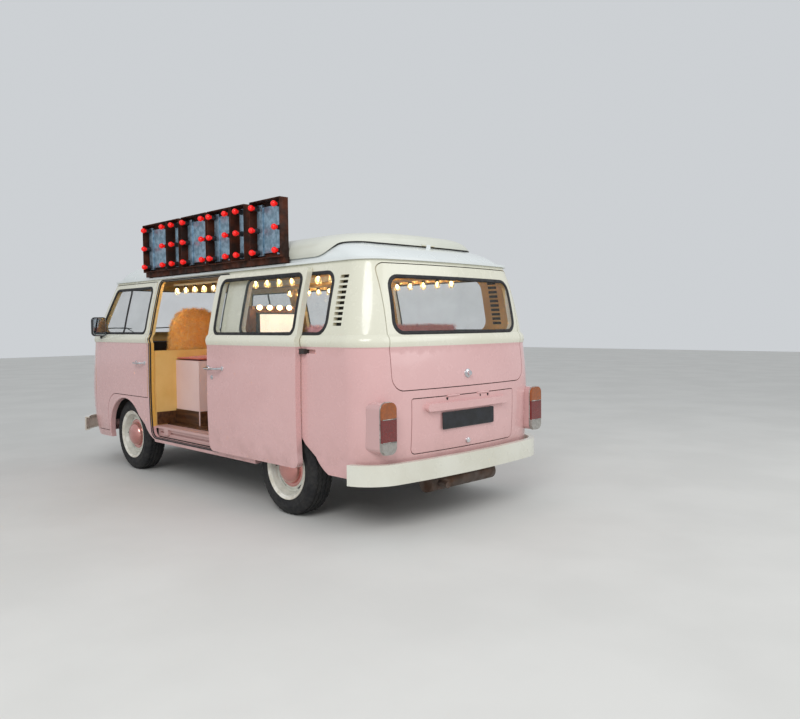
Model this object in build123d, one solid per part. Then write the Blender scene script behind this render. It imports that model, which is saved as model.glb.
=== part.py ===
from build123d import *
from math import atan2, cos, pi, radians, sin, sqrt
import os

os.makedirs("parts", exist_ok=True)

# Rear-engined camper van with a sliding side door and a lifting roof. Millimetres.
# X points forward, Y to the van's left, Z up. The ground is Z = 0 and the origin lies
# under the middle of the bumpers.

# Driving dimensions of the chassis
LENGTH = 4505.0
WHEELBASE = 2400.0
REAR_OVERHANG = 1000.0
TRACK_FRONT = 1395.0
TRACK_REAR = 1455.0
TYRE_RADIUS = 320.0
TYRE_WIDTH = 184.0
X_REAR = -LENGTH / 2 + REAR_OVERHANG
X_FRONT = X_REAR + WHEELBASE
AXLES = {"front": X_FRONT, "rear": X_REAR}
TRACKS = {"front": TRACK_FRONT, "rear": TRACK_REAR}
SIDES = {"left": 1, "right": -1}

# Body walls and gaps
WALL = 42.0
GAP = 6.0
SEAT = 0.3
GLASS = 5.0
GLASS_INSET = 8.0
REACH = 1500.0

# Heights of the body's main lines
Z_BODY = 270.0
Z_SPLIT = 1150.0
Z_BELT = 1235.0
Z_GUTTER = 1705.0
Z_SILL_FRONT = 312.0
Z_SILL_REAR = 345.0
Z_FLOOR = 445.0
FLOOR_SHEET = 20.0

# Body sections: height, nose, nose bow, nose corner, half width, tail, tail bow, tail corner
LOWER = [
    (Z_BODY, 2085, 1900, 300, 828, -2152, 5200, 200),
    (560, 2158, 1900, 320, 848, -2190, 5200, 215),
    (860, 2160, 1850, 335, 850, -2196, 5200, 220),
    (Z_SPLIT, 2128, 1800, 345, 845, -2172, 5200, 225),
]
BELT = [
    (Z_SPLIT, 2128, 1800, 345, 845, -2172, 5200, 225),
    (1182, 2137, 1750, 340, 856, -2178, 5200, 228),
    (Z_BELT, 2094, 1500, 300, 832, -2160, 4600, 215),
]
UPPER = [
    (Z_BELT, 2094, 1500, 300, 832, -2160, 4600, 215),
    (1480, 1948, 1400, 270, 781, -2122, 4300, 200),
    (Z_GUTTER, 1800, 1300, 230, 722, -2060, 4000, 180),
]
DOME = [
    (Z_GUTTER, 1786, 1290, 220, 710, -2040, 3800, 175),
    (1762, 1728, 1250, 215, 690, -1972, 3600, 175),
    (1820, 1610, 1200, 210, 642, -1840, 3400, 180),
    (1868, 1440, 1150, 210, 560, -1640, 3200, 190),
    (1902, 1200, 1100, 210, 430, -1360, 3000, 200),
]
LID = [
    (1738, 880, 3200, 120, 704, -1838, 2200, 330),
    (1835, 872, 3200, 120, 696, -1836, 2200, 330),
    (1885, 820, 3000, 130, 620, -1822, 2100, 320),
    (1918, 700, 2900, 140, 470, -1720, 2000, 300),
    (1936, 520, 2800, 150, 260, -1480, 1900, 200),
]


def end_points(reach, bow, corner, half):
    """Tip, tangent point, corner middle and side point of one bowed end of an outline."""
    hub = reach - bow
    centre = hub + sqrt((bow - corner) ** 2 - (half - corner) ** 2)
    start = atan2(half - corner, centre - hub)
    middle = (start + pi / 2) / 2
    tangent = (hub + bow * cos(start), bow * sin(start))
    corner_mid = (centre + corner * cos(middle), half - corner + corner * sin(middle))
    return (reach, 0), tangent, corner_mid, (centre, half)


def outline(section, inset=0.0, lift=0.0):
    """Closed plan outline at one height: bowed nose and tail, straight sides, round corners."""
    z, nose, nose_bow, nose_corner, half, tail, tail_bow, tail_corner = section
    front = end_points(nose - inset, nose_bow - inset, nose_corner - inset, half - inset)
    rear = end_points(-tail - inset, tail_bow - inset, tail_corner - inset, half - inset)
    height = z + lift

    def left(point, way=1):
        return (way * point[0], point[1], height)

    def right(point, way=1):
        return (way * point[0], -point[1], height)

    tip, tangent, corner_mid, side = front
    end_tip, end_tangent, end_corner, end_side = rear
    return Wire([
        Edge.make_three_point_arc(right(tangent), left(tip), left(tangent)),
        Edge.make_three_point_arc(left(tangent), left(corner_mid), left(side)),
        Edge.make_line(left(side), left(end_side, -1)),
        Edge.make_three_point_arc(left(end_side, -1), left(end_corner, -1), left(end_tangent, -1)),
        Edge.make_three_point_arc(left(end_tangent, -1), left(end_tip, -1), right(end_tangent, -1)),
        Edge.make_three_point_arc(right(end_tangent, -1), right(end_corner, -1), right(end_side, -1)),
        Edge.make_line(right(end_side, -1), right(side)),
        Edge.make_three_point_arc(right(side), right(corner_mid), right(tangent)),
    ])


def form(sections, inset=0.0, lift=0.0):
    """Solid through all the plan outlines of a table."""
    return Solid.make_loft([outline(row, inset, lift) for row in sections])


def ring(sections, outer=0.0, inner=WALL):
    """Wall between two insets of the same sections."""
    return form(sections, outer) - form(sections, inner)


def rounded(corners):
    """Flat face from rows of (across, up, corner radius)."""
    face = make_face(Polyline(*[(a, b) for a, b, r in corners], close=True))
    for a, b, r in corners:
        if r:
            corner = face.vertices().sort_by_distance(Vector(a, b, 0))[0]
            face = fillet(corner, r)
    return face


def slab_y(face, start, end):
    """Prism of an (X, Z) face between two Y values."""
    lowest = min(start, end)
    return extrude(Plane.XZ.offset(-lowest) * face, amount=abs(end - start), dir=(0, 1, 0))


def slab_x(face, start, end):
    """Prism of a (Y, Z) face between two X values."""
    lowest = min(start, end)
    return extrude(Plane.YZ.offset(lowest) * face, amount=abs(end - start), dir=(1, 0, 0))


def block(x, y, z):
    """Box from its lowest and highest value along each axis."""
    size = (x[1] - x[0], y[1] - y[0], z[1] - z[0])
    middle = ((x[0] + x[1]) / 2, (y[0] + y[1]) / 2, (z[0] + z[1]) / 2)
    return Pos(*middle) * Box(*size)


def rod(start, end, radius):
    """Round bar between two points."""
    line = Edge.make_line(start, end)
    return Solid.extrude(Face(Wire(Edge.make_circle(radius, Plane(line @ 0, z_dir=line % 0)))),
                         Vector(end) - Vector(start))


def drum(x, z, radius, start, end):
    """Cylinder across the van between two Y values."""
    return rod((x, start, z), (x, end, z), radius)


KNUCKLE_RADIUS = 6.0
KNUCKLE_WIDTH = 40.0
KNUCKLE_GAP = 1.0


def knuckles(x, z, y_middles):
    """Hinges across the van: middle knuckles of the fixed piece, outer ones of the lid, and the room
    that each needs in the other piece."""
    fixed, moving, fixed_room, moving_room = [], [], [], []
    half = KNUCKLE_WIDTH / 2
    room = KNUCKLE_RADIUS + KNUCKLE_GAP
    for y in y_middles:
        fixed.append(drum(x, z, KNUCKLE_RADIUS, y - half, y + half))
        fixed_room.append(drum(x, z, room, y - half - KNUCKLE_GAP, y + half + KNUCKLE_GAP))
        for way in SIDES.values():
            near, far = y + way * (half + SEAT), y + way * 3 * half
            moving.append(drum(x, z, KNUCKLE_RADIUS, near, far))
            moving_room.append(drum(x, z, room, near, far + way * KNUCKLE_GAP))
    return fixed, moving, fixed_room, moving_room


def hang(frame, lid, x, z, y_middles):
    """Fixed piece and lid joined by hinges across the van."""
    fixed, moving, fixed_room, moving_room = knuckles(x, z, y_middles)
    for tool in moving_room:
        frame = frame - tool
    for knuckle in fixed:
        frame = frame + knuckle
    for tool in fixed_room:
        lid = lid - tool
    for knuckle in moving:
        lid = lid + knuckle
    return frame, lid


def save(shape, node):
    """Write one node; a list of shapes becomes one node of separate solids."""
    if isinstance(shape, list):
        shape = Compound([solid for piece in shape for solid in piece.solids()])
    export_step(shape, f"parts/{node}.step")


# Outlines of the openings, seen from the side: X, Z, corner radius
ARCH_GAP = 15.0
ARCH_RADIUS = TYRE_RADIUS + ARCH_GAP
ARCH_BAND = 28.0
Z_DOOR_SILL = 325.0
Z_DOOR_ARCH = TYRE_RADIUS + ARCH_RADIUS + ARCH_BAND
Z_DOOR_TOP = 1688.0
X_DOOR_FRONT = 1765.0
X_DOOR_REAR = 690.0
X_PILLAR_BASE = 1748.0
X_PILLAR_TOP = 1520.0
X_DOOR_ARCH = X_FRONT + ARCH_RADIUS + ARCH_BAND
X_SLIDER_FRONT = 650.0
SLIDER_WIDTH = 1120.0
X_SLIDER_REAR = X_SLIDER_FRONT - SLIDER_WIDTH
SLIDER_TRAVEL = 1027.0
SLIDER_OUT = WALL + 6.0
Z_SLIDER_BOTTOM = 350.0
Z_SLIDER_TOP = 1684.0
SILL_Y = (700.0, 780.0)
X_CORNER = -1900.0
WINDOW_BOTTOM = 1242.0
WINDOW_TOP = 1632.0
WINDOW_RADIUS = 50.0

DOOR_FACE = rounded([
    (X_DOOR_FRONT, Z_DOOR_SILL, 25), (X_DOOR_FRONT, Z_BELT - 70, 0), (X_PILLAR_BASE, Z_BELT, 0),
    (X_PILLAR_TOP, Z_DOOR_TOP, 35), (X_DOOR_REAR, Z_DOOR_TOP, 25),
    (X_DOOR_REAR, Z_DOOR_ARCH, 15), (X_DOOR_ARCH, Z_DOOR_ARCH, 185),
    (X_DOOR_ARCH, Z_DOOR_SILL, 12),
])
DOOR_WINDOW = rounded([
    (760, WINDOW_BOTTOM, WINDOW_RADIUS), (1662, WINDOW_BOTTOM, WINDOW_RADIUS),
    (1462, WINDOW_TOP, WINDOW_RADIUS), (760, WINDOW_TOP, WINDOW_RADIUS),
])
SLIDER_FACE = rounded([
    (X_SLIDER_FRONT, Z_SLIDER_BOTTOM, 60), (X_SLIDER_FRONT, Z_SLIDER_TOP, 40),
    (X_SLIDER_REAR, Z_SLIDER_TOP, 40), (X_SLIDER_REAR, Z_SLIDER_BOTTOM, 60),
])
SLIDER_WINDOW = rounded([
    (563, WINDOW_BOTTOM, WINDOW_RADIUS), (563, WINDOW_TOP, WINDOW_RADIUS),
    (-417, WINDOW_TOP, WINDOW_RADIUS), (-417, WINDOW_BOTTOM, WINDOW_RADIUS),
])
QUARTER_WINDOW = rounded([
    (-740, WINDOW_BOTTOM, WINDOW_RADIUS), (-740, WINDOW_TOP, WINDOW_RADIUS),
    (-1720, WINDOW_TOP, 75), (-1720, WINDOW_BOTTOM, 90),
])

# Outlines seen from behind or in front: Y, Z, corner radius
TAILGATE_HALF = 662.0
Z_TAILGATE = 882.0
Z_TAILGATE_TOP = 1684.0
X_TAILGATE_HINGE = -2066.0
TAILGATE_FACE = rounded([
    (TAILGATE_HALF, Z_TAILGATE, 95), (TAILGATE_HALF, Z_TAILGATE_TOP, 60),
    (-TAILGATE_HALF, Z_TAILGATE_TOP, 60), (-TAILGATE_HALF, Z_TAILGATE, 95),
])
REAR_WINDOW = rounded([
    (600, 1246, 70), (588, 1594, 70), (-588, 1594, 70), (-600, 1246, 70),
])
ENGINE_LID_HALF = 515.0
Z_ENGINE_LID = 478.0
Z_ENGINE_LID_TOP = 834.0
X_ENGINE_HINGE = -2196.0
ENGINE_HINGE_Y = (-150.0, 150.0)
ENGINE_LID_FACE = rounded([
    (ENGINE_LID_HALF, Z_ENGINE_LID, 40), (ENGINE_LID_HALF, Z_ENGINE_LID_TOP, 18),
    (-ENGINE_LID_HALF, Z_ENGINE_LID_TOP, 18), (-ENGINE_LID_HALF, Z_ENGINE_LID, 40),
])
WINDSCREEN_FACE = rounded([
    (725, 1238, 110), (640, 1662, 100), (-640, 1662, 100), (-725, 1238, 110),
])


def arch_face(x_axle):
    """Wheel opening: round over the tyre, then flared back to the sill."""
    top = TYRE_RADIUS + ARCH_RADIUS
    flare_top = (x_axle - 0.80 * ARCH_RADIUS, TYRE_RADIUS + 0.60 * ARCH_RADIUS)
    flare_mid = (x_axle - 375, TYRE_RADIUS + 128)
    flare_end = (x_axle - 530, 330)
    low = 200.0
    front = (x_axle + ARCH_RADIUS, TYRE_RADIUS)
    return make_face([
        Line((x_axle + ARCH_RADIUS, low), front),
        ThreePointArc(front, (x_axle + ARCH_RADIUS * cos(pi / 4), TYRE_RADIUS + ARCH_RADIUS * sin(pi / 4)),
                      (x_axle, top)),
        ThreePointArc((x_axle, top), (x_axle - ARCH_RADIUS * cos(radians(63)),
                                      TYRE_RADIUS + ARCH_RADIUS * sin(radians(63))), flare_top),
        Line(flare_top, flare_mid),
        ThreePointArc(flare_mid, (x_axle - 440, 376), flare_end),
        Line(flare_end, (x_axle - 560, low)),
        Line((x_axle - 560, low), (x_axle + ARCH_RADIUS, low)),
    ])


# Body skin, one wall all round, trimmed to the lower edge of the body
SKIN_LOWER = ring(LOWER)
SKIN_BELT = ring(BELT)
SKIN_UPPER = ring(UPPER)
FAR = 3000.0
LOWER_EDGE = [
    (X_DOOR_ARCH - ARCH_BAND, Z_SILL_FRONT), (X_REAR - 300, Z_SILL_REAR),
]
for x_split, z_sill in LOWER_EDGE:
    SKIN_LOWER = SKIN_LOWER - block((-FAR, x_split), (-FAR, FAR), (0, z_sill))
for x_axle in AXLES.values():
    SKIN_LOWER = SKIN_LOWER - slab_y(arch_face(x_axle), -FAR, FAR)
SKIN = SKIN_LOWER + SKIN_BELT + SKIN_UPPER


def cut_side(shape, face, side):
    """Cut an outline, seen from the side, out of one side wall."""
    return shape - slab_y(face, 0, SIDES[side] * REACH)


def from_side(face, side, gap=GAP, skin=None):
    """Panel cut out of one side wall, smaller than its opening by a gap all round."""
    smaller = offset(face, -gap, kind=Kind.INTERSECTION) if gap else face
    return (skin or SKIN) & slab_y(smaller, 0, SIDES[side] * REACH)


def from_end(face, way, gap=GAP, skin=None):
    """Panel cut out of the nose or the tail."""
    smaller = offset(face, -gap, kind=Kind.INTERSECTION) if gap else face
    return (skin or SKIN) & slab_x(smaller, way * 1200, way * FAR)


# Nose, with the windscreen frame and the valance under the doors
DOOR_LINE = [(X_DOOR_FRONT, 0), (X_DOOR_FRONT, Z_BELT - 70), (X_PILLAR_BASE, Z_BELT),
             (X_PILLAR_TOP, Z_DOOR_TOP), (X_PILLAR_TOP, Z_GUTTER)]
AHEAD = make_face(Polyline(*DOOR_LINE, (FAR, Z_GUTTER), (FAR, 0), close=True))
front_panel = SKIN & slab_y(AHEAD, -REACH, REACH)
front_panel = front_panel - slab_x(WINDSCREEN_FACE, 1200, FAR)
for side in SIDES:
    front_panel = cut_side(front_panel, DOOR_FACE, side)

GRILLE_SLOTS = 4
for index in range(GRILLE_SLOTS):
    z_slot = 1010 + index * 22
    front_panel = front_panel - block((1800, FAR), (-430, 430), (z_slot, z_slot + 9))
LAMP_Y = 520.0
LAMP_Z = 735.0
LAMP_RADIUS = 106.0
INDICATOR = (170.0, 78.0)
INDICATOR_Y = 545.0
INDICATOR_Z = 1035.0
NOSE_BACK = 1850.0
for way in SIDES.values():
    front_panel = front_panel - rod((NOSE_BACK, way * LAMP_Y, LAMP_Z), (FAR, way * LAMP_Y, LAMP_Z),
                                    LAMP_RADIUS)
save(front_panel, "front_panel")

# Side walls: what is left between the nose and the rear corners
BEHIND = make_face(Polyline(*DOOR_LINE, (X_CORNER, Z_GUTTER), (X_CORNER, 0), close=True))
LOUVRE_X = (-1868.0, -1786.0)
LOUVRE_BOTTOM = 1290.0
LOUVRE_STEP = 33.5
LOUVRE_SLOT = 20.0
LOUVRES = 10
RAIL_SLOT_X = (-1640.0, -520.0)
RAIL_SLOT_Y = 824.0
RAIL_SLOT_Z = (1114.0, 1140.0)
for side, way in SIDES.items():
    wall = SKIN & slab_y(BEHIND, 0, way * REACH)
    wall = cut_side(wall, DOOR_FACE, side)
    wall = cut_side(wall, QUARTER_WINDOW, side)
    wall = cut_side(wall, SLIDER_FACE if side == "left" else SLIDER_WINDOW, side)
    for index in range(LOUVRES):
        z_slot = LOUVRE_BOTTOM + index * LOUVRE_STEP
        wall = wall - block(LOUVRE_X, sorted((0, way * REACH)), (z_slot, z_slot + LOUVRE_SLOT))
    if side == "left":
        wall = wall - block(RAIL_SLOT_X, (RAIL_SLOT_Y, REACH), RAIL_SLOT_Z)
    save(wall, f"side_panel_{side}")

# Rear corners round the tailgate and the engine lid
rear_panel = SKIN & block((-FAR, X_CORNER), (-FAR, FAR), (0, Z_GUTTER))
rear_panel = rear_panel - slab_x(TAILGATE_FACE, X_CORNER, -FAR)
rear_panel = rear_panel - slab_x(ENGINE_LID_FACE, X_CORNER, -FAR)

# Front doors, each cut from the skin with a gap all round, and its glass
GLASS_SKIN = ring(UPPER, GLASS_INSET, GLASS_INSET + GLASS)
for side in SIDES:
    door = cut_side(from_side(DOOR_FACE, side), DOOR_WINDOW, side)
    save(door, f"door_{side}")
    save(from_side(DOOR_WINDOW, side, SEAT, GLASS_SKIN), f"door_glass_{side}")

# Sliding door, drawn shut in its opening and then run back along its rail
OPENED = Pos(-SLIDER_TRAVEL, SLIDER_OUT, 0)
slider = cut_side(from_side(SLIDER_FACE, "left"), SLIDER_WINDOW, "left")
X_OPEN_FRONT = X_SLIDER_FRONT - SLIDER_TRAVEL
X_OPEN_REAR = X_SLIDER_REAR - SLIDER_TRAVEL
RAIL_MIDDLE = sum(RAIL_SLOT_Z) / 2
carriage = block((X_OPEN_REAR - 52, X_OPEN_REAR + 30), (RAIL_SLOT_Y + 6, 872),
                 (RAIL_MIDDLE - 9, RAIL_MIDDLE + 9))
lower_arm = block((X_OPEN_FRONT - 34, X_OPEN_FRONT - 10), (SILL_Y[1] + SEAT, 868),
                  (Z_SLIDER_BOTTOM + 4, Z_SLIDER_BOTTOM + 18))
slider = OPENED * slider + carriage + lower_arm
save(slider, "sliding_door")
save(OPENED * from_side(SLIDER_WINDOW, "left", SEAT, GLASS_SKIN), "sliding_door_glass")

# Fixed panes
save(from_end(WINDSCREEN_FACE, 1, SEAT, GLASS_SKIN), "windscreen")
side_windows = [
    from_side(QUARTER_WINDOW, "left", SEAT, GLASS_SKIN),
    from_side(QUARTER_WINDOW, "right", SEAT, GLASS_SKIN),
    from_side(SLIDER_WINDOW, "right", SEAT, GLASS_SKIN),
]
save(side_windows, "side_windows")

# Tailgate and engine lid
tailgate = from_end(TAILGATE_FACE, -1) - slab_x(REAR_WINDOW, X_CORNER, -FAR)
save(tailgate, "tailgate")
save(from_end(REAR_WINDOW, -1, SEAT, GLASS_SKIN), "tailgate_glass")
engine_lid = from_end(ENGINE_LID_FACE, -1)
HOOD_HALF = 430.0
HOOD_Z = 768.0
HOOD_DEPTH = 46.0
hood = slab_x(rounded([(HOOD_HALF, HOOD_Z - 24, 22), (HOOD_HALF - 40, HOOD_Z + 24, 20),
                       (-HOOD_HALF + 40, HOOD_Z + 24, 20), (-HOOD_HALF, HOOD_Z - 24, 22)]),
              -2100, -2196 - HOOD_DEPTH)
hood = hood - form(LOWER, 20)
hood = hood & form(LOWER, -HOOD_DEPTH + 14)
rear_panel, engine_lid = hang(rear_panel, engine_lid + hood, X_ENGINE_HINGE, Z_ENGINE_LID_TOP - GAP / 2,
                              ENGINE_HINGE_Y)
save(rear_panel, "rear_panel")
save(engine_lid, "engine_lid")

# Roof: gutter and dome, with the hatch that the lid covers
GUTTER_OUT = 18.0
GUTTER_SHEET = 7.0
HATCH = ((-1180.0, 700.0), (-480.0, 480.0))
ROOF_WALL = 22.0
gutter_section = (Z_GUTTER,) + UPPER[-1][1:]
rim = Solid.extrude(Face(outline(gutter_section, -GUTTER_OUT)), Vector(0, 0, GUTTER_SHEET))
rim = rim - Solid.extrude(Face(outline(DOME[0], ROOF_WALL)), Vector(0, 0, GUTTER_SHEET))
lip_height = 9.0
lip = Solid.extrude(Face(outline(gutter_section, -GUTTER_OUT)), Vector(0, 0, GUTTER_SHEET + lip_height))
lip = lip - Solid.extrude(Face(outline(gutter_section, -GUTTER_OUT + 5)),
                          Vector(0, 0, GUTTER_SHEET + lip_height))
dome = form(DOME) - form(DOME, ROOF_WALL, -ROOF_WALL)
dome = dome & block((-FAR, FAR), (-FAR, FAR), (Z_GUTTER, FAR))
roof = dome + rim + lip
roof = roof - block(HATCH[0], HATCH[1], (1850, FAR))

# Lifting roof lid, hinged at its rear edge, with a skirt that follows the dome
LID_WALL = 28.0
LID_GAP = 9.0
lid = form(LID) - form(DOME, -LID_GAP, LID_GAP)
hollow = form(LID, LID_WALL, -LID_WALL) & block((-FAR, FAR), (-FAR, FAR), (Z_GUTTER, FAR))
LID_HINGE = (-1837.0, 1840.0)
bracket = block((LID_HINGE[0] - 6, LID_HINGE[0] - 1.5), (-KNUCKLE_WIDTH / 2, KNUCKLE_WIDTH / 2),
                (LID_HINGE[1] - 35, LID_HINGE[1]))
roof = roof + (bracket - form(DOME, ROOF_WALL / 2, -ROOF_WALL / 2))
roof, lid = hang(roof, lid - hollow, *LID_HINGE, (0.0,))
save(roof, "roof")
save(lid, "pop_top")

# Floor pan, wheel houses, rails, engine deck and bulkheads
X_FIREWALL = -1480.0
Z_DECK = 905.0
HOUSE_SHEET = 10.0
Z_RAIL = Z_FLOOR - FLOOR_SHEET
HOUSE_GAP = 66.0
HOUSE_INNER = {"front": 430.0, "rear": 560.0}
INNER_LOWER = form(LOWER, WALL)
sheet = INNER_LOWER & block((X_FIREWALL, 1960), (-FAR, FAR), (Z_FLOOR - FLOOR_SHEET, Z_FLOOR))
deck = INNER_LOWER & block((-FAR, X_FIREWALL), (-FAR, FAR), (Z_DECK - FLOOR_SHEET, Z_DECK))
firewall = INNER_LOWER & block((X_FIREWALL, X_FIREWALL + FLOOR_SHEET), (-FAR, FAR),
                               (Z_FLOOR, Z_DECK))
underbody = sheet
engine_bay = deck + firewall
wheel_houses = []
for name, x_axle in AXLES.items():
    house_radius = TYRE_RADIUS + HOUSE_GAP
    reach_y = HOUSE_INNER[name]
    for way in SIDES.values():
        outer = drum(x_axle, TYRE_RADIUS, house_radius + HOUSE_SHEET, way * reach_y, way * 900)
        inner = drum(x_axle, TYRE_RADIUS, house_radius, way * (reach_y + HOUSE_SHEET), way * 900)
        outer = outer & INNER_LOWER & block((-FAR, FAR), (-FAR, FAR), (Z_RAIL, FAR))
        underbody = underbody - outer - inner
        engine_bay = engine_bay - outer - inner
        wheel_houses.append(outer - inner)
save(engine_bay, "engine_bay")
save(wheel_houses, "wheel_houses")
RAIL_Y = 350.0
RAIL = (56.0, 78.0)
CROSS_X = [1600.0, 480.0, -420.0]
BEAM_X = X_FRONT + 175
BEAM_NOTCH = 90.0
for way in SIDES.values():
    y_rail = sorted((way * (RAIL_Y - RAIL[0] / 2), way * (RAIL_Y + RAIL[0] / 2)))
    underbody = underbody + block((X_FIREWALL, 1900), y_rail, (Z_RAIL - RAIL[1], Z_RAIL))
for x_cross in CROSS_X:
    underbody = underbody + (block((x_cross - 35, x_cross + 35), (-FAR, FAR),
                                   (Z_RAIL - 50, Z_RAIL)) & INNER_LOWER)
underbody = underbody - block((BEAM_X - BEAM_NOTCH, BEAM_X + BEAM_NOTCH), (-FAR, FAR), (0, Z_RAIL))
sill = block((X_SLIDER_REAR, X_SLIDER_FRONT), SILL_Y, (Z_SILL_FRONT, Z_RAIL))
track = block((X_SLIDER_REAR + 30, X_SLIDER_FRONT - 30), (SILL_Y[1] - 18, FAR), (384, 400))
underbody = underbody + (sill - track)
TOW_BORE = 20.0
TOW_SHEET = 14.0
TOW_X = 2120.0
TOW_Z = 232.0
tow_plate = make_face(Polyline((1790, Z_RAIL - RAIL[1] + 8), (1900, Z_RAIL - RAIL[1] + 8), (2000, TOW_Z + 34),
                               (TOW_X, TOW_Z + 34), (TOW_X, TOW_Z - 34), (2060, TOW_Z - 34), close=True))
tow_y = (-RAIL_Y - TOW_SHEET / 2, -RAIL_Y + TOW_SHEET / 2)
tow = slab_y(tow_plate, *tow_y) + drum(TOW_X, TOW_Z, 34, *tow_y)
underbody = underbody + (tow - drum(TOW_X, TOW_Z, TOW_BORE, *tow_y))
PARTITION_X = 660.0
PARTITION_SHEET = 18.0
Z_PARTITION = 1090.0
partition = INNER_LOWER & block((PARTITION_X, PARTITION_X + PARTITION_SHEET), (-FAR, FAR),
                                (Z_FLOOR, Z_PARTITION))
walkway = block((0, FAR), (-150, 100), (Z_FLOOR, FAR))
partition = partition - walkway
save(underbody, "underbody")

# Wheels: tyre, pressed rim with slots, and domed cap, turned about the wheel's own axis
RIM_RADIUS = 190.0
BEAD_RADIUS = 178.0
RIM_HALF = 76.0
RIM_SHEET = 8.0
CAP_RADIUS = 126.0
CAP_DOME = 48.0
DISC_FACE = 22.0
SPINDLE_RADIUS = 30.0
HUB_BORE = SPINDLE_RADIUS + SEAT
RIM_SLOTS = 16
SLOT = (9.0, 90.0, 22.0)
SLOT_RADIUS = 142.0


def tyre_shape():
    half_width = TYRE_WIDTH / 2
    shoulder = TYRE_RADIUS - 26
    profile = make_face([
        Line((BEAD_RADIUS + SEAT, -RIM_HALF + RIM_SHEET), (BEAD_RADIUS + SEAT, RIM_HALF - RIM_SHEET)),
        Line((BEAD_RADIUS + SEAT, RIM_HALF - RIM_SHEET), (RIM_RADIUS + 4, RIM_HALF - 2)),
        ThreePointArc((RIM_RADIUS + 4, RIM_HALF - 2), (245, half_width), (shoulder, half_width - 12)),
        ThreePointArc((shoulder, half_width - 12), (TYRE_RADIUS - 6, half_width - 24),
                      (TYRE_RADIUS, half_width - 40)),
        Line((TYRE_RADIUS, half_width - 40), (TYRE_RADIUS, -half_width + 40)),
        ThreePointArc((TYRE_RADIUS, -half_width + 40), (TYRE_RADIUS - 6, -half_width + 24),
                      (shoulder, -half_width + 12)),
        ThreePointArc((shoulder, -half_width + 12), (245, -half_width), (RIM_RADIUS + 4, -RIM_HALF + 2)),
        Line((RIM_RADIUS + 4, -RIM_HALF + 2), (BEAD_RADIUS + SEAT, -RIM_HALF + RIM_SHEET)),
    ])
    return revolve(profile, Axis.Y, 360)


def wheel_shape():
    """Rim and disc with the outside of the van towards +Y."""
    rim_profile = make_face(Polyline(
        (RIM_RADIUS, RIM_HALF), (RIM_RADIUS - 5, RIM_HALF), (BEAD_RADIUS - RIM_SHEET, RIM_HALF - 16),
        (BEAD_RADIUS - 30, 20), (BEAD_RADIUS - 30, -20), (BEAD_RADIUS - RIM_SHEET, -RIM_HALF + 16),
        (RIM_RADIUS - 5, -RIM_HALF), (RIM_RADIUS, -RIM_HALF), (BEAD_RADIUS, -RIM_HALF + RIM_SHEET),
        (BEAD_RADIUS, -46), (BEAD_RADIUS - 22, -20), (BEAD_RADIUS - 22, 20), (BEAD_RADIUS, 46),
        (BEAD_RADIUS, RIM_HALF - RIM_SHEET), close=True))
    wheel = revolve(rim_profile, Axis.Y, 360)
    disc_profile = make_face(Polyline(
        (HUB_BORE, DISC_FACE - 9), (118, DISC_FACE - 9), (134, DISC_FACE + 8), (BEAD_RADIUS - 29, 4),
        (BEAD_RADIUS - 29, 13), (134, DISC_FACE + 18), (118, DISC_FACE), (HUB_BORE, DISC_FACE),
        close=True))
    wheel = wheel + revolve(disc_profile, Axis.Y, 360)
    slot = Pos(SLOT_RADIUS, 0, 0) * Box(*SLOT)
    for index in range(RIM_SLOTS):
        wheel = wheel - Rot(0, index * 360 / RIM_SLOTS, 0) * slot
    return wheel


def cap_shape():
    """Domed hub cap that clips to the disc."""
    rise = CAP_DOME
    start = DISC_FACE + 6
    profile = make_face([
        Line((0, start), (0, start + rise)),
        ThreePointArc((0, start + rise), (CAP_RADIUS * 0.62, start + rise * 0.72), (CAP_RADIUS, start + 6)),
        Line((CAP_RADIUS, start + 6), (CAP_RADIUS, start)),
        Line((CAP_RADIUS, start), (0, start)),
    ])
    return revolve(profile, Axis.Y, 360)


TYRE = tyre_shape()
WHEEL = wheel_shape() + cap_shape()
for name, x_axle in AXLES.items():
    for side, way in SIDES.items():
        place = Pos(x_axle, way * TRACKS[name] / 2, TYRE_RADIUS)
        turned = Rot(0, 0, 0) if way > 0 else Rot(0, 0, 180)
        save(place * turned * TYRE, f"tyre_{name}_{side}")
        save(place * turned * WHEEL, f"wheel_{name}_{side}")

# Front axle: two beam tubes, trailing arms and the steered knuckles
BEAM_Z = (255.0, 375.0)
BEAM_HALF = 430.0
KINGPIN_Y = 610.0
KINGPIN_RADIUS = 15.0
ARM = (445.0, 470.0)
beams = [drum(BEAM_X, z, 34, -BEAM_HALF, BEAM_HALF) for z in BEAM_Z]
front_axle = beams[0] + beams[1]
for way in SIDES.values():
    plate = block((BEAM_X - 55, BEAM_X + 55), sorted((way * (BEAM_HALF - 28), way * (BEAM_HALF - 2))),
                  (205, Z_RAIL))
    front_axle = front_axle + plate
    for z in BEAM_Z:
        front_axle = front_axle + drum(BEAM_X, z, 26, way * (BEAM_HALF - 5), way * ARM[1])
        arm = slab_y(rounded([(BEAM_X + 24, z - 22, 14), (BEAM_X + 24, z + 22, 14),
                              (X_FRONT - 18, z + 16, 12), (X_FRONT - 18, z - 16, 12)]),
                     way * ARM[0], way * ARM[1])
        eye = rod((X_FRONT, way * KINGPIN_Y, z - 16), (X_FRONT, way * KINGPIN_Y, z + 16), 26)
        link = block((X_FRONT - 18, X_FRONT + 18), sorted((way * (ARM[1] - 5), way * KINGPIN_Y)),
                     (z - 14, z + 14))
        front_axle = front_axle + arm + link + eye
    front_axle = front_axle - rod((X_FRONT, way * KINGPIN_Y, BEAM_Z[0] - 60),
                                  (X_FRONT, way * KINGPIN_Y, BEAM_Z[1] + 60), KINGPIN_RADIUS + SEAT)
save(front_axle, "front_axle")

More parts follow.
